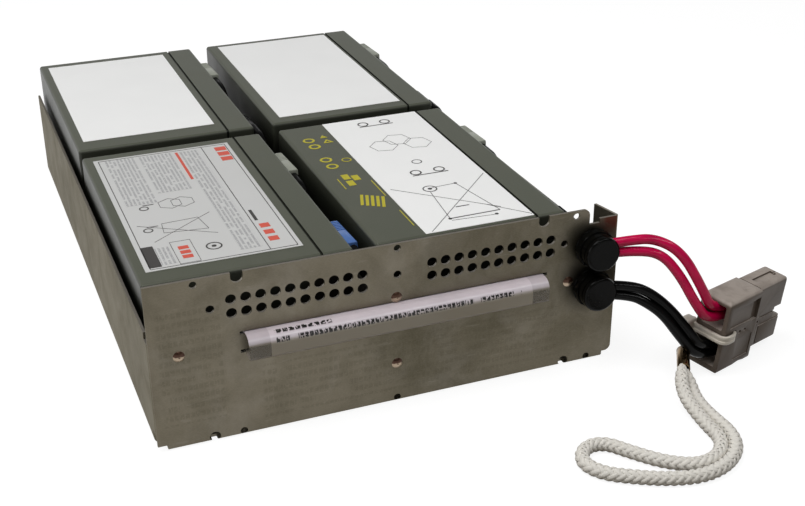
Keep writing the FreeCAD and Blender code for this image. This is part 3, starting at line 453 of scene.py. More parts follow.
def battery_finish(colours, top, joints):
    """Battery plastic: a fine grain on top, painted shade lines along the lid joints, and painted shade on the
    sides, deeper towards the bottom of the gaps.
    """
    material, tree, shader, place = new_material("battery_plastic", 0.36, specular=0.22)
    value, normal = use_group(tree, grain_group(), Vector=place, Scale=1700.0, Depth=0.1)
    worn = use_group(tree, marks_group(), Vector=place, Amount=0.35)[0]
    across, _, height = axes(tree, place)
    tint = blended(tree, worn, rgba(colours.battery), rgba(colours.battery_worn))
    # Painted shade: faces that turn away from the top are darkened, more so lower down.
    side = ramp(tree, facing_up(tree), 0.92, 0.35)
    deep = ramp(tree, height, top - 0.001, top - 0.016)
    shade = scaled(colours.battery, 0.06)
    tint = covered(tree, tint, side, maths(tree, "MULTIPLY_ADD", deep, 0.36, 0.58), shade)
    # Painted shade: a dark line along each lid joint stands for the shade in the groove.
    for joint in joints:
        line = within(tree, across, joint - 0.0005, joint + 0.0005, 0.0003)
        tint = covered(tree, tint, line, 0.85, shade)
    rough = maths(tree, "ADD", maths(tree, "MULTIPLY", worn, 0.18), maths(tree, "MULTIPLY_ADD", value, 0.1, 0.31))
    connect(tree, shader, Base_Color=tint, Roughness=rough, Normal=normal)
    return material


def plug_finish(colours):
    """Plug plastic: grained, with painted shade that makes its sides browner and darker than its top."""
    material, tree, shader, place = new_material("plug_plastic", 0.42, specular=0.12)
    normal = use_group(tree, grain_group(), Vector=place, Scale=1100.0, Depth=0.1)["Normal"]
    worn = use_group(tree, marks_group(), Vector=place, Smudge_scale=80.0, Amount=0.5)[0]
    # Painted shade: faces that turn away from the top take the darker side colour.
    side = ramp(tree, facing_up(tree), 0.7, 0.2)
    tint = covered(tree, rgba(colours.plug), side, 0.85, colours.plug_shade_and_marks)
    tint = covered(tree, tint, worn, 0.8, scaled(colours.plug_shade_and_marks, 0.8))
    connect(tree, shader, Base_Color=tint, Normal=normal)
    return material


def metal_finish(name, colour, roughness, spread=0.5):
    """Small metal fitting with tarnish in soft patches."""
    material, tree, shader, place = new_material(name, roughness, metallic=1.0)
    mask = ramp(tree, noise(tree, place, 260.0, 4.0), 0.4, 0.65)
    connect(tree, shader, Base_Color=covered(tree, rgba(colour), mask, spread, scaled(colour, 0.45)),
            Roughness=maths(tree, "MULTIPLY_ADD", mask, 0.15, roughness))
    return material


def rivet_finish(colours):
    """Coppered rivet: brown on its upper half, with a painted reflection of the pale floor on its lower half."""
    material, tree, shader, place = new_material("coppered_rivet", 0.28, metallic=0.6)
    # Painted reflection: the face turned down is pale and the face turned up brown, with a soft noisy edge.
    edge = maths(tree, "MULTIPLY_ADD", noise(tree, place, 420.0, 3.0), 0.5,
                 maths(tree, "SUBTRACT", facing_up(tree), 0.25))
    tint = blended(tree, ramp(tree, edge, -0.10, 0.14), rgba(colours.rivet_floor_reflection), rgba(colours.rivet))
    connect(tree, shader, Base_Color=tint)
    return material


def paper_finish(name, colour):
    """Laminated label: faint fibre, smooth face."""
    material, tree, shader, place = new_material(name, 0.38, specular=0.35)
    normal = use_group(tree, grain_group(), Vector=place, Scale=2200.0, Depth=0.05)["Normal"]
    cloud = ramp(tree, noise(tree, place, 35.0, 2.0), 0.3, 0.7)
    connect(tree, shader, Base_Color=covered(tree, rgba(colour), cloud, 0.3, scaled(colour, 0.95)), Normal=normal)
    return material


def ink_finish(name, colour):
    """Printed ink with slightly uneven cover."""
    material, tree, shader, place = new_material(name, 0.42, specular=0.3)
    cover = noise(tree, place, 700.0, 2.0)
    connect(tree, shader, Base_Color=covered(tree, rgba(colour), cover, 0.4, scaled(colour, 1.5)))
    return material


def rows_finish(name, paper, ink, pitch, density):
    """Label field covered with rows of fine print."""
    material, tree, shader, place = new_material(name, 0.38, specular=0.35)
    mask = use_group(tree, rows_group(), Vector=place, Row_pitch=pitch, Density=density)[0]
    connect(tree, shader, Base_Color=blended(tree, mask, rgba(paper), rgba(ink)))
    return material


def film_finish(colours, low, high):
    """Film: milky where it turns over at the top, steel-coloured in front, with two rows of dark print, a painted
    highlight along its top edge and another along its lower edge.
    """
    material, tree, shader, place = new_material("clear_film", 0.2, specular=0.25, coat=0.25)
    shader.inputs["Coat Roughness"].default_value = 0.18
    across, depth, height = axes(tree, place)
    rise = high.z - low.z
    upper = ramp(tree, height, low.z + 0.58 * rise, low.z + 0.8 * rise)
    between_ends = within(tree, across, low.x + 0.0095, high.x - 0.0085, 0.0004)
    cloud = noise(tree, place, 60.0, 4.0)
    cover = product(tree, maths(tree, "MULTIPLY_ADD", upper, 0.2, 0.66),
                    maths(tree, "MULTIPLY_ADD", between_ends, 0.2, 0.8))
    alpha = maths(tree, "MULTIPLY_ADD", cloud, 0.14, cover)
    tint = blended(tree, cloud, rgba(colours.film), rgba(scaled(colours.film, 1.3)))
    tint = blended(tree, upper, rgba(colours.film_low), tint)
    ends = blended(tree, upper, rgba(scaled(colours.film_low, 0.5)), tint)
    tint = blended(tree, between_ends, ends, tint)
    # Painted highlight: a light line along the top edge where the film turns over.
    crown_highlight = within(tree, height, high.z - 0.0026, high.z - 0.0014, 0.0008)
    tint = covered(tree, tint, crown_highlight, 0.5, colours.film_highlight)
    # Painted highlight: a pale line along the lower edge of the band.
    rim_highlight = within(tree, height, low.z + 0.0006, low.z + 0.0011, 0.0004)
    tint = covered(tree, tint, rim_highlight, 0.35, colours.film_rim_highlight)

    print_left = low.x + 0.0118
    front_field = product(tree, within(tree, height, low.z + 0.0062, low.z + 0.0092, 0.0001),
                          product(tree, within(tree, across, print_left, high.x - 0.0137, 0.0002),
                                  ramp(tree, depth, low.y + 0.0035, low.y + 0.003)))
    top_field = product(tree, ramp(tree, height, high.z - 0.0011, high.z - 0.0009),
                        product(tree, within(tree, across, print_left, print_left + 0.0249, 0.0002),
                                within(tree, depth, low.y + 0.0016, low.y + 0.0049, 0.0001)))
    rows = []
    for field, down, start, pitch, spread in ((front_field, height, low.z + 0.0058, 0.0037, 0.6),
                                              (top_field, depth, low.y + 0.0014, 0.0036, 0.45)):
        seat = flat_place(tree, maths(tree, "SUBTRACT", down, start), maths(tree, "MULTIPLY", across, spread))
        rows.append(product(tree, field, use_group(tree, rows_group(), Vector=seat, Row_pitch=pitch,
                                                   Density=1.0)[0]))
    ink = maths(tree, "ADD", *rows, clamp=True)
    tint = blended(tree, ink, tint, rgba(scaled(colours.print_dark, 0.5)))
    alpha = maths(tree, "ADD", alpha, maths(tree, "MULTIPLY", ink, 0.8), clamp=True)
    connect(tree, shader, Base_Color=tint, Alpha=alpha,
            Normal=bumped(tree, noise(tree, place, 90.0, 2.0), 0.15, 0.0008))
    return material


def yarn_finish(colours):
    """Bleached yarn: twisted fibres along each strand, read from the strand's own map."""
    material, tree, shader, place = new_material("rope_yarn", 0.85, specular=0.25)
    shader.inputs["Sheen Weight"].default_value = 0.25
    along = new_node(tree, "ShaderNodeUVMap", uv_map="Strand").outputs[0]
    fibres = noise(tree, turned(tree, along, (0.0, 0.0, 0.35), (5.0, 1.0, 1.0)), 3.0, 3.0, 0.7)
    tint = covered(tree, rgba(colours.rope), ramp(tree, fibres, 0.35, 0.7), 0.5, scaled(colours.rope, 0.8))
    tint = covered(tree, tint, noise(tree, place, 60.0, 3.0), 0.25, colours.rope_soiled)
    connect(tree, shader, Base_Color=tint, Normal=bumped(tree, fibres, 0.5, 0.0002))
    return material


def jacket_finish(name, colour, worn, specular):
    """Smooth wire jacket with a faint wave and dull patches."""
    material, tree, shader, place = new_material(name, 0.24, specular=specular)
    wave = noise(tree, place, 150.0, 3.0)
    connect(tree, shader, Base_Color=covered(tree, rgba(colour), ramp(tree, wave, 0.4, 0.75), 0.6, worn),
            Roughness=maths(tree, "MULTIPLY_ADD", wave, 0.12, 0.12), Normal=bumped(tree, wave, 0.1, 0.0004))
    return material


def dress(material, *names):
    """Give a material to CAD nodes."""
    for name in names:
        mesh = nodes[name].data
        mesh.materials.clear()
        mesh.materials.append(material)


def for_each(stem):
    return [f"{stem}_{place}" for place in BATTERIES]


# ---- modelling helpers ----

def deselect():
    bpy.ops.object.select_all(action="DESELECT")


def make_active(piece):
    """Select one piece alone and make it the active one."""
    deselect()
    piece.select_set(True)
    bpy.context.view_layer.objects.active = piece


def finished(piece, name, material, stands_for=None):
    """Name a finished piece, give it its material and put it on the object."""
    piece.name = name
    piece.data.name = name
    piece.data.materials.clear()
    piece.data.materials.append(material)
    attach(piece, "root")
    if stands_for:
        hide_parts(stands_for)
    return piece


def applied(piece, name):
    """Bring the active object's place and turn into its mesh, and name it."""
    bpy.ops.object.transform_apply(location=True, rotation=True, scale=True)
    piece.name = name
    piece.data.name = name
    return piece


def block(name, low, high):
    """Box between two corners given in millimetres."""
    deselect()
    centre = [(a + b) / 2 * MM for a, b in zip(low, high)]
    bpy.ops.mesh.primitive_cube_add(size=1.0, location=centre)
    piece = bpy.context.active_object
    piece.scale = [(b - a) * MM for a, b in zip(low, high)]
    return applied(piece, name)


def round_bar(name, centre, radius, depth, axis, sides=32):
    """Cylinder about one axis, with its middle and sizes in millimetres."""
    deselect()
    turn = {"X": (0.0, math.pi / 2, 0.0), "Y": (math.pi / 2, 0.0, 0.0), "Z": (0.0, 0.0, 0.0)}[axis]
    bpy.ops.mesh.primitive_cylinder_add(vertices=sides, radius=radius * MM, depth=depth * MM,
                                        location=[value * MM for value in centre], rotation=turn)
    return applied(bpy.context.active_object, name)


def bevel(piece, width, segments, chosen=None):
    """Round the edges whose middle, in millimetres, is chosen; all of them if nothing is asked."""
    make_active(piece)
    mesh = piece.data
    for part in (*mesh.vertices, *mesh.edges, *mesh.polygons):
        part.select = False
    for edge in mesh.edges:
        middle = (mesh.vertices[edge.vertices[0]].co + mesh.vertices[edge.vertices[1]].co) / 2 / MM
        edge.select = chosen is None or chosen(middle)
    bpy.ops.object.mode_set(mode="EDIT")
    bpy.ops.mesh.select_mode(type="EDGE")
    bpy.ops.mesh.bevel(offset=width * MM, segments=segments, affect="EDGES")
    bpy.ops.object.mode_set(mode="OBJECT")


def combine(piece, others, operation):
    """Join other solids to a piece or cut them from it, and take them away."""
    for other in others:
        modifier = piece.modifiers.new("work", "BOOLEAN")
        modifier.operation = operation
        modifier.solver = "EXACT"
        modifier.object = other
        make_active(piece)
        bpy.ops.object.modifier_apply(modifier=modifier.name)
        bpy.data.objects.remove(other)


def soften(piece, width, angle=30.0):
    """Break the sharp edges of a finished form a little and shade it smooth."""
    make_active(piece)
    modifier = piece.modifiers.new("edges", "BEVEL")
    modifier.width = width * MM
    modifier.segments = 2
    modifier.limit_method = "ANGLE"
    modifier.angle_limit = math.radians(40)
    bpy.ops.object.modifier_apply(modifier=modifier.name)
    bpy.ops.object.shade_smooth_by_angle(angle=math.radians(angle))


def put(piece, placement):
    """Carry a piece modelled in its own axes to its place."""
    make_active(piece)
    piece.matrix_world = placement
    return applied(piece, piece.name)


def flat_bar(name, centre, size, turn=0.0):
    """Thin printed rectangle that lies face up."""
    deselect()
    bpy.ops.mesh.primitive_plane_add(size=1.0, location=centre, rotation=(0.0, 0.0, turn))
    piece = bpy.context.active_object
    piece.scale = (size[0], size[1], 1.0)
    return applied(piece, name)


def flat_ring(name, centre, radius, line, sides=28, turn=0.0):
    """Thin printed ring: a disc whose middle is inset and taken out."""
    deselect()
    bpy.ops.mesh.primitive_circle_add(vertices=sides, radius=radius, fill_type="NGON", location=centre,
                                      rotation=(0.0, 0.0, turn))
    piece = bpy.context.active_object
    bpy.ops.object.mode_set(mode="EDIT")
    bpy.ops.mesh.select_all(action="SELECT")
    bpy.ops.mesh.inset(thickness=line, depth=0.0)
    bpy.ops.mesh.delete(type="FACE")
    bpy.ops.object.mode_set(mode="OBJECT")
    return applied(piece, name)


def flat_disc(name, centre, radius, sides=20, turn=0.0):
    """Thin printed dot."""
    deselect()
    bpy.ops.mesh.primitive_circle_add(vertices=sides, radius=radius, fill_type="NGON", location=centre,
                                      rotation=(0.0, 0.0, turn))
    return applied(bpy.context.active_object, name)


def printed(pieces, name, material, rise):
    """Join printed shapes into one piece, give them their thickness and put them on the object."""
    deselect()
    for piece in pieces:
        piece.select_set(True)
    bpy.context.view_layer.objects.active = pieces[0]
    if len(pieces) > 1:
        bpy.ops.object.join()
    piece = bpy.context.active_object
    bpy.ops.object.mode_set(mode="EDIT")
    bpy.ops.mesh.select_all(action="SELECT")
    bpy.ops.mesh.extrude_region_move(TRANSFORM_OT_translate={"value": (0.0, 0.0, rise)})
    bpy.ops.mesh.select_all(action="SELECT")
    bpy.ops.mesh.normals_make_consistent(inside=False)
    bpy.ops.object.mode_set(mode="OBJECT")
    return finished(piece, name, material)


# ---- cords ----

def route_curve(name, route, radius):
    """Smooth curve through a route's control points."""
    data = bpy.data.curves.new(name, "CURVE")
    data.dimensions = "3D"
    spline = data.splines.new("NURBS")
    spline.points.add(len(route) - 1)
    for point, place in zip(spline.points, route):
        point.co = (*place, 1.0)
    spline.order_u = 3
    spline.use_endpoint_u = True
    spline.resolution_u = 16
    data.bevel_depth = radius
    data.bevel_resolution = 8
    data.use_fill_caps = True
    curve = bpy.data.objects.new(name, data)
    bpy.context.scene.collection.objects.link(curve)
    return curve


def spline_points(curve):
    """Points of a bare curve's line, from its first end to its last."""
    bpy.context.view_layer.update()
    mesh = bpy.data.meshes.new_from_object(curve)
    points = [vertex.co.copy() for vertex in mesh.vertices]
    bpy.data.meshes.remove(mesh)
    return points


def evenly(points, step):
    """Places a step apart along a line of points."""
    places, carried = [points[0].copy()], 0.0
    for here, there in zip(points, points[1:]):
        run = (there - here).length
        while carried + run >= step:
            here = here + (there - here) * ((step - carried) / run)
            places.append(here.copy())
            run = (there - here).length
            carried = 0.0
        carried += run
    places.append(points[-1].copy())
    return places


def travelling_frames(places):
    """Across and up directions at each place that turn no more than the line does."""
    ways = []
    for index in range(len(places)):
        before, after = places[max(index - 1, 0)], places[min(index + 1, len(places) - 1)]
        ways.append((after - before).normalized())
    across = ways[0].cross(Vector((0.0, 0.0, 1.0))).normalized()
    frames = []
    for way in ways:
        across = (across - way * across.dot(way)).normalized()
        frames.append((across, way.cross(across).normalized()))
    return frames


def strand_mesh(places, frames, sizes):
    """Vertices, faces and map of a hollow braid of flat strands that turn both ways and cross in waves."""
    fullness, overlap = 1.05, 1.2
    pinch, pinch_reach = 0.42, 0.009
    radius = sizes.rope / 2 * fullness
    count = sizes.rope_strands
    thick, wave = radius * 0.30, radius * 0.115
    middle = radius - thick / 2 - wave
    wide = math.pi * radius / count * overlap
    corners = ((-1.0, -0.1), (-0.62, 0.36), (0.0, 0.5), (0.62, 0.36), (1.0, -0.1), (0.0, -0.5))
    verts, faces, uvs = [], [], []
    travelled = [0.0]
    for here, there in zip(places, places[1:]):
        travelled.append(travelled[-1] + (there - here).length)
    for turn in (1, -1):
        for strand in range(count):
            first = len(verts)
            for index, (place, (across, up)) in enumerate(zip(places, frames)):
                nearest = min(travelled[index], travelled[-1] - travelled[index])
                held = 1.0 - pinch * max(0.0, 1.0 - nearest / pinch_reach) ** 2
                angle = 2 * math.pi * (strand / count + turn * travelled[index] / sizes.rope_lay)
                steps = 2 * count * travelled[index] / sizes.rope_lay
                phase = math.pi / 2 * (2 * strand + turn * steps - 0.5)
                lift = turn * wave * math.cos(phase)
                outward = across * math.cos(angle) + up * math.sin(angle)
                sideways = up * math.cos(angle) - across * math.sin(angle)
                lean = wide / math.cos(math.atan2(2 * math.pi * middle, sizes.rope_lay)) * 0.5
                for x, y in corners:
                    offset = outward * (middle + lift + y * thick) + sideways * (x * lean)
                    verts.append(place + offset * held)
            ring = len(corners)
            for index in range(len(places) - 1):
                for corner in range(ring):
                    after = (corner + 1) % ring
                    low = first + index * ring
                    quad = (low + corner, low + after, low + ring + after, low + ring + corner)
                    faces.append(quad)
                    v0, v1 = travelled[index] * 1000, travelled[index + 1] * 1000
                    u0, u1 = corner / ring, (corner + 1) / ring
                    uvs.extend(((u0, v0), (u1, v0), (u1, v1), (u0, v1)))
            for low, order in ((first, -1), (len(verts) - ring, 1)):
                faces.append(tuple(low + corner for corner in range(ring))[::order])
                uvs.extend(((0.5, 0.0),) * ring)
    return verts, faces, uvs


# ---- operators ----

class CARTRIDGE_OT_stage(bpy.types.Operator):
    """Floor, lamps, surroundings and camera"""
    bl_idname = "cartridge.stage"
    bl_label = "Stage"

    def execute(self, context):
        stage, colours = context.scene.cartridge_stage, context.scene.cartridge_colours
        deselect()
        bpy.ops.mesh.primitive_plane_add(size=stage.floor_size, location=(0.0, 0.0, 0.0))
        floor = bpy.context.active_object
        floor.name = "floor"
        floor.data.materials.append(floor_material(colours, stage.floor_glow))
        add_lamp("top_lamp", stage.top_lamp, (-0.35, -0.15, 1.15), (0.0, 0.0, 0.05), (0.7, 0.7))
        add_lamp("left_lamp", stage.left_lamp, (-1.1, -0.1, 0.5), (0.0, 0.0, 0.04), (0.6, 0.6))
        add_lamp("strip_lamp", stage.strip_lamp, (0.39, -0.7, 1.05), (0.0, -0.17, 0.05), (1.4, 0.06))
        set_world(context.scene, stage.sky)
        add_camera(context.scene, stage)
        context.scene.view_settings.view_transform = "Standard"
        return {"FINISHED"}


def floor_material(colours, glow):
    """Pale floor that is seen as white and keeps the object's shadow."""
    material, tree, shader, _ = new_material("pale_floor", 0.9, specular=0.0)
    shader.inputs["Base Color"].default_value = rgba(colours.floor)
    shader.inputs["Emission Color"].default_value = (1.0, 1.0, 1.0, 1.0)
    shader.inputs["Emission Strength"].default_value = glow
    plain = new_node(tree, "ShaderNodeBsdfDiffuse", {"Color": rgba(colours.bounce)})
    mix = new_node(tree, "ShaderNodeMixShader", {0: seen_rays(tree), 1: plain.outputs[0], 2: shader.outputs[0]})
    tree.links.new(mix.outputs[0], tree.nodes["Material Output"].inputs["Surface"])
    return material


def add_lamp(name, power, place, target, size):
    """Rectangular softbox that faces a point of the object."""
    data = bpy.data.lights.new(name, "AREA")
    data.shape = "RECTANGLE"
    data.size, data.size_y = size
    data.energy = power
    lamp = bpy.data.objects.new(name, data)
    lamp.location = place
    lamp.rotation_euler = (Vector(target) - Vector(place)).to_track_quat("-Z", "Y").to_euler()
    bpy.context.scene.collection.objects.link(lamp)


def set_world(scene, strength):
    """Even surroundings: a soft level of light, and white round the horizon where they are seen."""
    world = bpy.data.worlds.new("studio")
    world.use_nodes = True
    tree = world.node_tree
    up = axes(tree, new_node(tree, "ShaderNodeTexCoord").outputs["Generated"])[2]
    level = maths(tree, "MULTIPLY_ADD", product(tree, seen_rays(tree), ramp(tree, up, 0.42, 0.16)),
                  1.0 - strength, strength)
    background = tree.nodes["Background"]
    background.inputs["Color"].default_value = (1.0, 1.0, 1.0, 1.0)
    tree.links.new(level, background.inputs["Strength"])
    scene.world = world


def add_camera(scene, stage):
    """Camera with its place, its three angles and its lens."""
    data = bpy.data.cameras.new("camera")
    data.lens = stage.camera_lens
    data.sensor_width = 36.0
    heading, pitch, roll = stage.camera_heading, stage.camera_pitch, stage.camera_roll
    forward = Vector((math.sin(heading) * math.cos(pitch), math.cos(heading) * math.cos(pitch),
                      math.sin(pitch)))
    level = forward.cross(Vector((0.0, 0.0, 1.0))).normalized()
    upright = level.cross(forward)
    right = level * math.cos(roll) + upright * math.sin(roll)
    up = right.cross(forward)
    camera = bpy.data.objects.new("camera", data)
    turn = Matrix((right, up, -forward)).transposed().to_4x4()
    camera.matrix_world = Matrix.Translation(stage.camera_place) @ turn
    scene.collection.objects.link(camera)
    scene.camera = camera


class CARTRIDGE_OT_plug(bpy.types.Operator):
    """Two-pole plug housing with its wire mouths, latch pockets and nose"""
    bl_idname = "cartridge.plug"
    bl_label = "Plug"

    def execute(self, context):
        colours = context.scene.cartridge_colours
        body = block("plug_body", (0, 0, 0), (25.6, 15.9, 36.8))
        bevel(body, 2.0, 4, lambda at: abs(at.x - 12.8) < 1 and at.z > 30)
        bevel(body, 1.0, 3, lambda at: abs(at.x - 12.8) < 1 and at.z < 1)
        nose = block("plug_nose", (24.6, 1.2, 4.6), (47.6, 14.7, 36.4))
        bevel(nose, 1.6, 4, lambda at: at.x > 47 or (at.z > 36 and abs(at.x - 36.1) < 1))
        ribs = []
        for y in (0.35, 14.25):
            ribs.append(block("plug_rib", (25.0, y, 6.0), (28.2, y + 1.3, 20.8)))
            ribs.append(block("plug_lobe", (29.6, y + 0.35, 5.4), (45.8, y + 0.95, 15.4)))
        combine(body, [nose] + ribs, "UNION")
        cuts = [block("notch", (41.2, -1, 15.8), (50, 17, 21.8)),
                block("tie_slot", (6.8, -1, 15.85), (9.0, 17, 20.95)),
                block("rail", (29.2, 6.0, 35.4), (44.4, 9.6, 40)),
                block("rail_end", (44.0, 7.4, 35.9), (49.0, 8.2, 40)),
                block("seam", (25.45, -1, 36.1), (25.85, 17, 40)),
                round_bar("scallop", (16.6, 8, -9.4), 10.6, 20, "Y", 48)]
        for low, high in ((2.6, 14.8), (22.0, 34.2)):
            mouth = block("mouth", (-1, 2.2, low), (20, 13.7, high))
            bevel(mouth, 0.8, 3, lambda at: abs(at.x - 9.5) < 1)
            cuts.append(mouth)
            middle = (low + high) / 2
            cuts.append(block("bore", (19, 4.0, middle - 4.1), (50, 11.9, middle + 4.1)))
        for outside, inside in ((-1, 0.7), (16.9, 15.2)):
            near, far = sorted((outside, inside))
            deep = sorted((outside, inside + (0.9 if inside < 8 else -0.9)))
            cuts.append(block("panel", (3.4, near, 22.6), (20.4, far, 32.6)))
            cuts.append(block("latch", (20.0, deep[0], 22.0), (24.4, deep[1], 33.0)))
            cuts.append(block("lower_panel", (11.6, near + 0.35, 3.4), (23.4, far - 0.35, 14.6)))
            cuts.append(block("groove", (29.8, deep[0], 19.2), (41.6, deep[1], 20.4)))
            for along in (12.2, 16.2, 26.6):
                cuts.append(round_bar("hole", (along, inside, 18.6), 0.9, 3.0, "Y", 20))
        combine(body, cuts, "DIFFERENCE")
        soften(body, 0.28)
        put(body, PLUG_PLACE)
        finished(body, "plug_shell", plug_finish(colours), "plug_housing")
        return {"FINISHED"}


class CARTRIDGE_OT_tie(bpy.types.Operator):
    """Cable tie round the plug's partition, and the crimped clip that hangs the rope on it"""
    bl_idname = "cartridge.tie"
    bl_label = "Cable tie and clip"

    def execute(self, context):
        colours = context.scene.cartridge_colours
        band = block("tie_band", (-2.1, -2.1, 16.5), (8.9, 18.0, 20.3))
        bevel(band, 3.9, 8, lambda at: abs(at.z - 18.4) < 0.5)
        middle = block("middle", (-0.8, -0.8, 15), (7.5, 16.7, 22))
        bevel(middle, 2.6, 8, lambda at: abs(at.z - 18.5) < 0.5)
        combine(band, [middle], "DIFFERENCE")
        channel = block("channel", (-4, -4, 17.8), (11, 20, 19.0))
        core = block("core", (-1.8, -1.8, 17), (8.6, 17.7, 20))
        bevel(core, 3.6, 8, lambda at: abs(at.z - 18.5) < 0.5)
        combine(channel, [core], "DIFFERENCE")
        combine(band, [channel], "DIFFERENCE")
        head = block("tie_head", (-5.0, 16.3, 15.15), (1.5, 21.8, 21.65))
        bevel(head, 1.1, 4)
        combine(head, [block("throat", (-6, 18.2, 17.2), (3, 20.2, 19.6))], "DIFFERENCE")
        tail = block("tie_tail", (-7.6, 18.5, 16.6), (3.4, 19.7, 20.2))
        combine(band, [head, tail], "UNION")
        soften(band, 0.3, 45.0)
        put(band, PLUG_PLACE)
        nylon = moulded("tie_nylon", colours.tie, scaled(colours.tie, 0.8), 0.35, grain=700.0, specular=0.35)
        finished(band, "tie_loop", nylon, "cable_tie")
        self.clip(colours)
        return {"FINISHED"}

    def clip(self, colours):
        """Brass tube crimped round both rope ends, with a wire link up to the tie."""
        foot = (Vector(ROPE_ROUTE[0]) + Vector(ROPE_ROUTE[-1])) / 2
        turn = Vector((0.1328, -0.192, 0.0115))
        way = (turn - foot).normalized()
        stack = way.cross(Vector((0.0, 0.0, 1.0))).normalized()
        placement = Matrix.Translation(foot) @ Matrix((stack, way.cross(stack), way)).transposed().to_4x4()
        middle, length, outer, inner = 6.4, 14.4, 2.95, 2.45
        link_wire, link_half = 0.0022, 0.0019
        clip = round_bar("clip", (0.0, 0.0, middle), outer, length, "Z", 40)
        combine(clip, [round_bar("hollow", (0.0, 0.0, middle), inner, length + 1.6, "Z", 40)], "DIFFERENCE")
        combine(clip, [block("lap", (-0.5, -3.15, -0.7), (1.3, -2.6, 13.5))], "UNION")
        soften(clip, 0.15)
        put(clip, placement)
        top = PLUG_PLACE @ Vector((-0.003, 0.01865, 0.01385))
        side = way.cross(stack) * link_half
        start = foot + way * 0.012
        points = [start - side, turn - side, (turn + top) / 2 - side, top - side * 1.2, top + side * 1.2,
                  (turn + top) / 2 + side, turn + side, start + side]
        link = route_curve("clip_link", points, link_wire / 2)
        make_active(link)
        bpy.ops.object.convert(target="MESH")
        link = bpy.context.active_object
        clip.select_set(True)
        bpy.context.view_layer.objects.active = clip
        bpy.ops.object.join()
        finished(clip, "rope_clip", metal_finish("clip_metal", colours.brass, 0.14, 0.7),
                 "rope_ferrule")


class CARTRIDGE_OT_free_leads(bpy.types.Operator):
    """The two red and two black leads from the strain reliefs to the plug"""
    bl_idname = "cartridge.free_leads"
    bl_label = "Free leads"

    def execute(self, context):
        sizes, colours = context.scene.cartridge_sizes, context.scene.cartridge_colours
        red = jacket_finish("red_jacket", colours.red_wire, scaled(colours.red_wire, 0.6), 0.18)
        black = jacket_finish("black_jacket", colours.black_wire, colours.black_worn, 0.1)
        # Black that stands for the painted shade on the inner positive leads.
        shade_black = moulded("dark_sleeve", colours.black_wire, colours.shade_black_worn, 0.7, grain=900.0,
                         depth=0.5, specular=0.08)
        for name, route in LEAD_ROUTES.items():
            lead = route_curve(f"{name}_jacket", route, sizes.wire / 2)
            material, slot = (red, "red_wire") if name.startswith("red") else (black, "black_wire")
            finished(lead, lead.name, material, name)
        # Painted shade: the red inner positive leads are dressed all black, standing for the shade they lie in
        # behind the panel.
        dress(shade_black, "left_positive_lead", "right_positive_lead")
        dress(black, "left_negative_lead", "right_negative_lead", "left_jumper", "right_jumper")
        return {"FINISHED"}


class CARTRIDGE_OT_pull_rope(bpy.types.Operator):
    """Braided loop of rope that hangs on the clip"""
    bl_idname = "cartridge.pull_rope"
    bl_label = "Pull rope"

    def execute(self, context):
        sizes, colours = context.scene.cartridge_sizes, context.scene.cartridge_colours
        line = route_curve("rope_line", ROPE_ROUTE, 0.0)
        route = spline_points(line)
        bpy.data.objects.remove(line)
        places = evenly(route, sizes.rope_lay / 26)
        verts, faces, uvs = strand_mesh(places, travelling_frames(places), sizes)
        mesh = bpy.data.meshes.new("rope_braid")
        mesh.from_pydata(verts, [], faces)
        layer = mesh.uv_layers.new(name="Strand")
        for loop, uv in zip(layer.data, uvs):
            loop.uv = uv
        braid = bpy.data.objects.new("rope_braid", mesh)
        context.scene.collection.objects.link(braid)
        make_active(braid)
        bpy.ops.object.shade_smooth_by_angle(angle=math.radians(50))
        finished(braid, "rope_braid", yarn_finish(colours), "pull_rope")
        return {"FINISHED"}


class CARTRIDGE_OT_metal(bpy.types.Operator):
    """Tray, spacer, rivets, contacts, springs and terminals"""
    bl_idname = "cartridge.metal"
    bl_label = "Metal finishes"

    def execute(self, context):
        colours = context.scene.cartridge_colours
        low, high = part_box("tray")
        reliefs = [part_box(f"strain_relief_{place}") for place in ("upper", "lower")]
        dress(steel_finish(colours, low.y, high.z, reliefs), "tray")
        dress(metal_finish("dark_steel", colours.steel_hidden, 0.5, 0.4), "battery_stop")
        dress(rivet_finish(colours), "panel_rivets")
        dress(metal_finish("tinned", colours.tin, 0.25, 0.3), "contact_negative", "contact_positive",
              *for_each("terminals"))
        dress(metal_finish("spring_steel", colours.spring, 0.3, 0.3),
              "contact_spring_negative", "contact_spring_positive")
        return {"FINISHED"}


class CARTRIDGE_OT_batteries(bpy.types.Operator):
    """Containers, lids, vent covers and foam tape"""
    bl_idname = "cartridge.batteries"
    bl_label = "Battery finishes"

    def execute(self, context):
        colours = context.scene.cartridge_colours
        joints = [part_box(f"battery_lid_front_{side}")[0].x - 0.0006 for side in ("left", "right")]
        case = battery_finish(colours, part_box("battery_case_front_left")[1].z, joints)
        dress(case, *for_each("battery_case"), *for_each("battery_lid"), *for_each("vent_cover"))
        dress(moulded("foam", colours.foam, scaled(colours.foam, 1.6), 0.9, grain=900.0, depth=0.6),
              "foam_tape")
        return {"FINISHED"}


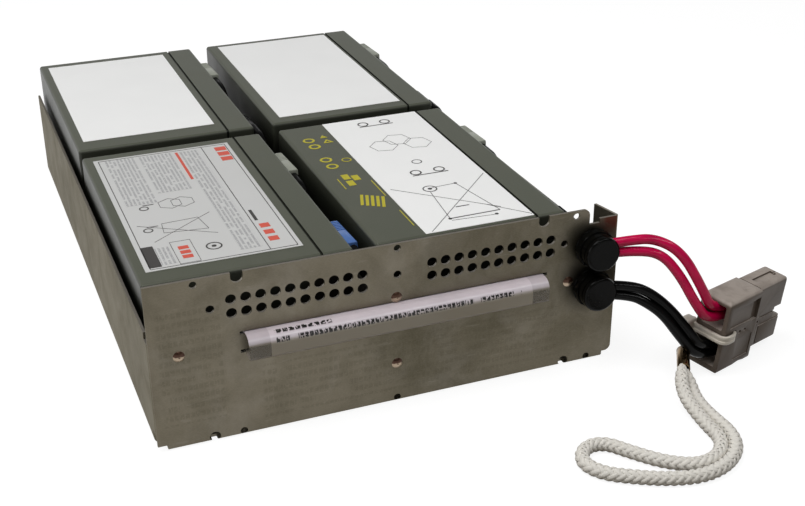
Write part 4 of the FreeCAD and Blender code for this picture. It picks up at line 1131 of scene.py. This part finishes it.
class CARTRIDGE_OT_fittings(bpy.types.Operator):
    """Strain reliefs with their collars, and terminal housings"""
    bl_idname = "cartridge.fittings"
    bl_label = "Fittings"

    def execute(self, context):
        colours = context.scene.cartridge_colours
        bush = moulded("black_nylon", colours.bush, scaled(colours.bush, 3.0), 0.16, grain=420.0, depth=0.3,
                       marks=0.2, specular=0.07)
        dress(bush, "strain_relief_upper", "strain_relief_lower")
        natural = moulded("natural_nylon", colours.nylon, scaled(colours.nylon, 0.8), 0.34, grain=700.0)
        blue = moulded("blue_nylon", colours.blue_nylon, scaled(colours.blue_nylon, 0.6), 0.3, grain=700.0)
        self.collars(bush)
        pattern, straight = self.housing(1.2), self.housing(0.0)
        for place in BATTERIES:
            self.seat(pattern, f"rear_insulator_{place}", natural, "natural_nylon", 1.0)
            if place == "front_left":
                self.seat(pattern, f"front_insulator_{place}", blue, "blue_nylon", 0.95)
            else:
                self.seat(straight, f"front_insulator_{place}", bush, "black_nylon", 0.6)
        bpy.data.objects.remove(pattern)
        bpy.data.objects.remove(straight)
        return {"FINISHED"}

    def collars(self, material):
        """Eight-sided collars that turn the strain reliefs home, round the root of each head."""
        sides, play, grip = 8, 0.04, 0.2
        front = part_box("tray")[0].y / MM
        for place in ("upper", "lower"):
            low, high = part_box(f"strain_relief_{place}")
            half = (high.z - low.z) / 2 / MM
            centre = (low.x / MM + half, front - 3.35, high.z / MM - half)
            collar = round_bar("collar", centre, (half + grip) / math.cos(math.pi / sides), 3.9, "Y", sides)
            combine(collar, [round_bar("bore", centre, half + play, 6, "Y", 64)], "DIFFERENCE")
            soften(collar, 0.45)
            finished(collar, f"relief_collar_{place}", material)

    def housing(self, lean):
        """Terminal housing, ribbed behind and open in front for the lead; its outer side may lean in at the top."""
        length, height = HOUSING_SIZE
        body = block("housing", (0, 0, 0), (5.4 + lean / 2, length, height))
        for vertex in body.data.vertices:
            if vertex.co.x > 0.003 and vertex.co.z > 0.008:
                vertex.co.x -= lean * (1.4 if vertex.co.y > 0.02 else 0.5) * MM
        bevel(body, 0.9, 4, lambda at: at.z > 8 and abs(at.x - 2.6) > 1)
        bevel(body, 0.5, 3, lambda at: at.y < 0.5 and at.z > 1)
        cuts = [block("mouth", (0.9, -1, 2.6), (4.4, 8, 6.6))]
        cuts += [block("rib", (-1, 13.6 + step * 1.7, 8.15), (7, 14.3 + step * 1.7, 10)) for step in range(6)]
        combine(body, cuts, "DIFFERENCE")
        soften(body, 0.15)
        return body

    def seat(self, pattern, node, material, slot, share):
        """Copy of the housing on one terminal, with a share of the full height."""
        low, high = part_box(node)
        piece = pattern.copy()
        piece.data = pattern.data.copy()
        bpy.context.scene.collection.objects.link(piece)
        piece.data.transform(Matrix.Translation((low.x, high.y - HOUSING_SIZE[0] * MM, low.z))
                             @ Matrix.Diagonal((1.0, 1.0, share, 1.0)))
        finished(piece, f"{node}_housing", material, node)


class CARTRIDGE_OT_handle(bpy.types.Operator):
    """Clear film of the handle band with its printed marks"""
    bl_idname = "cartridge.handle"
    bl_label = "Handle band"

    def execute(self, context):
        colours = context.scene.cartridge_colours
        low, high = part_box("handle_band")
        dress(film_finish(colours, low, high), "handle_band")
        return {"FINISHED"}


class CARTRIDGE_OT_labels(bpy.types.Operator):
    """Labels on the batteries with their printed fields"""
    bl_idname = "cartridge.labels"
    bl_label = "Labels"

    def execute(self, context):
        sizes, colours = context.scene.cartridge_sizes, context.scene.cartridge_colours
        plain = paper_finish("white_label", colours.paper)
        dress(plain, "label_rear_left", "label_rear_right", "label_front_right")
        grey = paper_finish("grey_label", colours.paper_grey)
        dress(grey, "label_front_left")
        dark = ink_finish("dark_ink", colours.print_dark)
        red = ink_finish("red_ink", colours.print_red)
        yellow = ink_finish("yellow_ink", colours.print_yellow)
        print_front_left(sizes, colours, dark, red)
        print_front_right(sizes, dark, yellow)
        return {"FINISHED"}


class Print:
    """Flat shapes on one face, with places and sizes in millimetres from the face's front left corner."""

    def __init__(self, corner, z):
        self.corner, self.z, self.shapes = corner, z, []

    def at(self, x, y):
        return (self.corner.x + x * MM, self.corner.y + y * MM, self.z)

    def bar(self, x, y, width, length, turn=0.0):
        self.shapes.append(flat_bar("bar", self.at(x, y), (width * MM, length * MM), turn))

    def ring(self, x, y, radius, line, sides=28, turn=0.0):
        self.shapes.append(flat_ring("ring", self.at(x, y), radius * MM, line * MM, sides, turn))

    def dot(self, x, y, radius):
        self.shapes.append(flat_disc("dot", self.at(x, y), radius * MM))

    def line(self, start, end, width):
        """Straight line between two places."""
        (x0, y0, _), (x1, y1, _) = self.at(*start), self.at(*end)
        self.shapes.append(flat_bar("line", ((x0 + x1) / 2, (y0 + y1) / 2, self.z),
                                    (math.hypot(x1 - x0, y1 - y0), width * MM), math.atan2(y1 - y0, x1 - x0)))

    def path(self, corners, width):
        """Lines from each corner to the next and back to the first."""
        for start, end in zip(corners, corners[1:] + corners[:1]):
            self.line(start, end, width)

    def frame(self, low, high, width):
        """Four lines round a field."""
        self.path((low, (high[0], low[1]), high, (low[0], high[1])), width)


def print_front_left(sizes, colours, dark, red):
    """Fields of the front left label: border, rows of fine print, a few plain marks."""
    low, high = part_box("label_front_left")
    rise = sizes.print_rise

    fields = Print(low, high.z)
    for x0, y0, x1, y1 in ((5, 70, 20.5, 130), (22, 80, 39, 129), (43, 6, 53, 128), (8, 4, 14.5, 21)):
        fields.bar((x0 + x1) / 2, (y0 + y1) / 2, x1 - x0, y1 - y0)
    fine = rows_finish("fine_print", colours.paper_grey, colours.print_grey, 0.0019, 0.9)
    printed(fields.shapes, "front_left_fine_print", fine, rise)

    line, thin = 0.35, 0.22
    marks = Print(low, high.z)
    marks.frame((2.4, 1.6), (67.8, 130.6), line)
    marks.line((55.4, 1.6), (55.4, 130.6), line)
    marks.frame((15.5, 2.4), (24.6, 24.8), line * 0.6)
    marks.bar(4.9, 13.4, 5.6, 21.0)
    marks.ring(33.2, 14.3, 3.7, 0.7)
    marks.dot(33.2, 14.3, 1.1)
    marks.bar(57.8, 39.0, 1.5, 12.0)
    for x, y in ((12.4, 65.0), (9.4, 40.5)):
        marks.ring(x, y, 2.3, 0.6)
        marks.bar(x + 2.6, y + 3.4, 5.2, 0.6)
    for x in (25.0, 31.0):
        marks.ring(x, 66.5, 6.0, thin, sides=6)
    marks.path(((16.5, 45.5), (15.5, 35.5), (35.5, 33.0), (33.5, 46.5)), thin)
    marks.line((9.7, 27.5), (39.9, 50.2), thin)
    marks.line((5.5, 47.0), (38.2, 26.8), thin)
    printed(marks.shapes, "front_left_dark_print", dark, rise * 1.5)

    reds = Print(low, high.z)
    reds.bar(41.7, 109.5, 1.4, 37.0)
    for step in range(3):
        reds.bar(64.3, 111.0 + step * 7.0, 5.8, 5.0)
        reds.bar(59.8, 12.0 + step * 7.3, 4.6, 4.4)
        reds.bar(20.2, 8.6 + step * 4.6, 4.6, 3.2)
    printed(reds.shapes, "front_left_red_print", red, rise * 1.5)


def print_front_right(sizes, dark, yellow):
    """Thin line drawing on the front right label, and plain yellow marks on the container beside it."""
    low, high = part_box("label_front_right")
    line, bold = 0.3, 0.75
    marks = Print(low, high.z)
    for x, y in ((27.0, 139.5), (28.5, 66.8)):
        marks.ring(x - 6.5, y, 3.0, bold)
        marks.ring(x + 6.0, y, 3.0, bold)
        marks.bar(x, y - 3.6, 19.0, bold)
    for x, y in ((20.0, 106.0), (29.5, 112.0), (38.0, 104.0)):
        marks.ring(x, y, 7.6, line * 0.7, sides=6, turn=0.3)
    marks.ring(27.8, 79.8, 2.7, 0.5)
    marks.ring(20.8, 45.7, 3.6, 0.6)
    marks.dot(20.8, 45.7, 1.1)
    for start, end in (((2.9, 52.0), (43.6, 14.1)), ((3.3, 0.9), (52.6, 53.5)), ((19.5, 41.8), (16.3, 10.6)),
                       ((22.0, 46.5), (34.9, 47.4)), ((34.9, 47.4), (41.8, 11.6)), ((53.6, 1.6), (38.4, 18.7)),
                       ((16.3, 8.6), (38.1, 7.2))):
        marks.line(start, end, line)
    marks.line((16.3, 10.7), (41.8, 11.2), bold)
    marks.line((23.9, 21.6), (30.7, 21.6), bold)
    for x, y in ((16.3, 10.6), (38.4, 7.6), (34.9, 47.4)):
        marks.dot(x, y, 0.9)
    printed(marks.shapes, "front_right_dark_print", dark, sizes.print_rise * 1.5)

    case_low, case_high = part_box("battery_case_front_right")
    yellows = Print(case_low, case_high.z)
    for y in (125.0, 96.5):
        yellows.ring(10.6, y + 4.6, 3.2, 1.2)
        yellows.ring(10.9, y - 4.6, 3.2, 1.2)
    yellows.ring(19.6, 125.0, 3.2, 0.9, sides=3)
    yellows.ring(19.4, 132.0, 2.4, 0.9, sides=3)
    yellows.ring(20.4, 97.5, 2.6, 0.6)
    for x, y in ((12.6, 76.5), (12.6, 68.5), (17.0, 74.0)):
        yellows.bar(x, y, 3.6, 6.2)
    for step in range(5):
        yellows.bar(10.6 + step * 2.2, 47.6 - step * 1.4, 1.5, 12.0, math.radians(-18))
    for x, y, length in ((7.9, 69.0, 13.0), (22.8, 58.0, 20.0), (22.9, 21.0, 18.0)):
        yellows.bar(x, y, 0.5, length)
    printed(yellows.shapes, "front_right_yellow_print", yellow, sizes.print_rise * 1.5)


class CARTRIDGE_PT_panel(bpy.types.Panel):
    """Steps and settings of the cartridge"""
    bl_idname = "CARTRIDGE_PT_panel"
    bl_label = "Battery Cartridge"
    bl_space_type = "VIEW_3D"
    bl_region_type = "UI"
    bl_category = "Cartridge"

    def draw(self, context):
        for step in STEPS:
            self.layout.operator(step.bl_idname)
        for group in (context.scene.cartridge_sizes, context.scene.cartridge_colours,
                      context.scene.cartridge_stage):
            column = self.layout.column(align=True)
            for name in group.bl_rna.properties.keys():
                if name not in ("rna_type", "name"):
                    column.prop(group, name)


STEPS = (CARTRIDGE_OT_stage, CARTRIDGE_OT_plug, CARTRIDGE_OT_tie, CARTRIDGE_OT_free_leads,
         CARTRIDGE_OT_pull_rope, CARTRIDGE_OT_metal, CARTRIDGE_OT_batteries, CARTRIDGE_OT_fittings,
         CARTRIDGE_OT_handle, CARTRIDGE_OT_labels)
CLASSES = (CartridgeSizes, CartridgeColours, CartridgeStage, *STEPS, CARTRIDGE_PT_panel)


def register():
    for item in CLASSES:
        bpy.utils.register_class(item)
    bpy.types.Scene.cartridge_sizes = bpy.props.PointerProperty(type=CartridgeSizes)
    bpy.types.Scene.cartridge_colours = bpy.props.PointerProperty(type=CartridgeColours)
    bpy.types.Scene.cartridge_stage = bpy.props.PointerProperty(type=CartridgeStage)


def unregister():
    del bpy.types.Scene.cartridge_sizes
    del bpy.types.Scene.cartridge_colours
    del bpy.types.Scene.cartridge_stage
    for item in reversed(CLASSES):
        bpy.utils.unregister_class(item)


def main():
    register()
    bpy.ops.cartridge.stage()
    bpy.ops.cartridge.plug()
    bpy.ops.cartridge.tie()
    bpy.ops.cartridge.free_leads()
    bpy.ops.cartridge.pull_rope()
    bpy.ops.cartridge.metal()
    bpy.ops.cartridge.batteries()
    bpy.ops.cartridge.fittings()
    bpy.ops.cartridge.handle()
    bpy.ops.cartridge.labels()


if __name__ == "__main__":
    main()
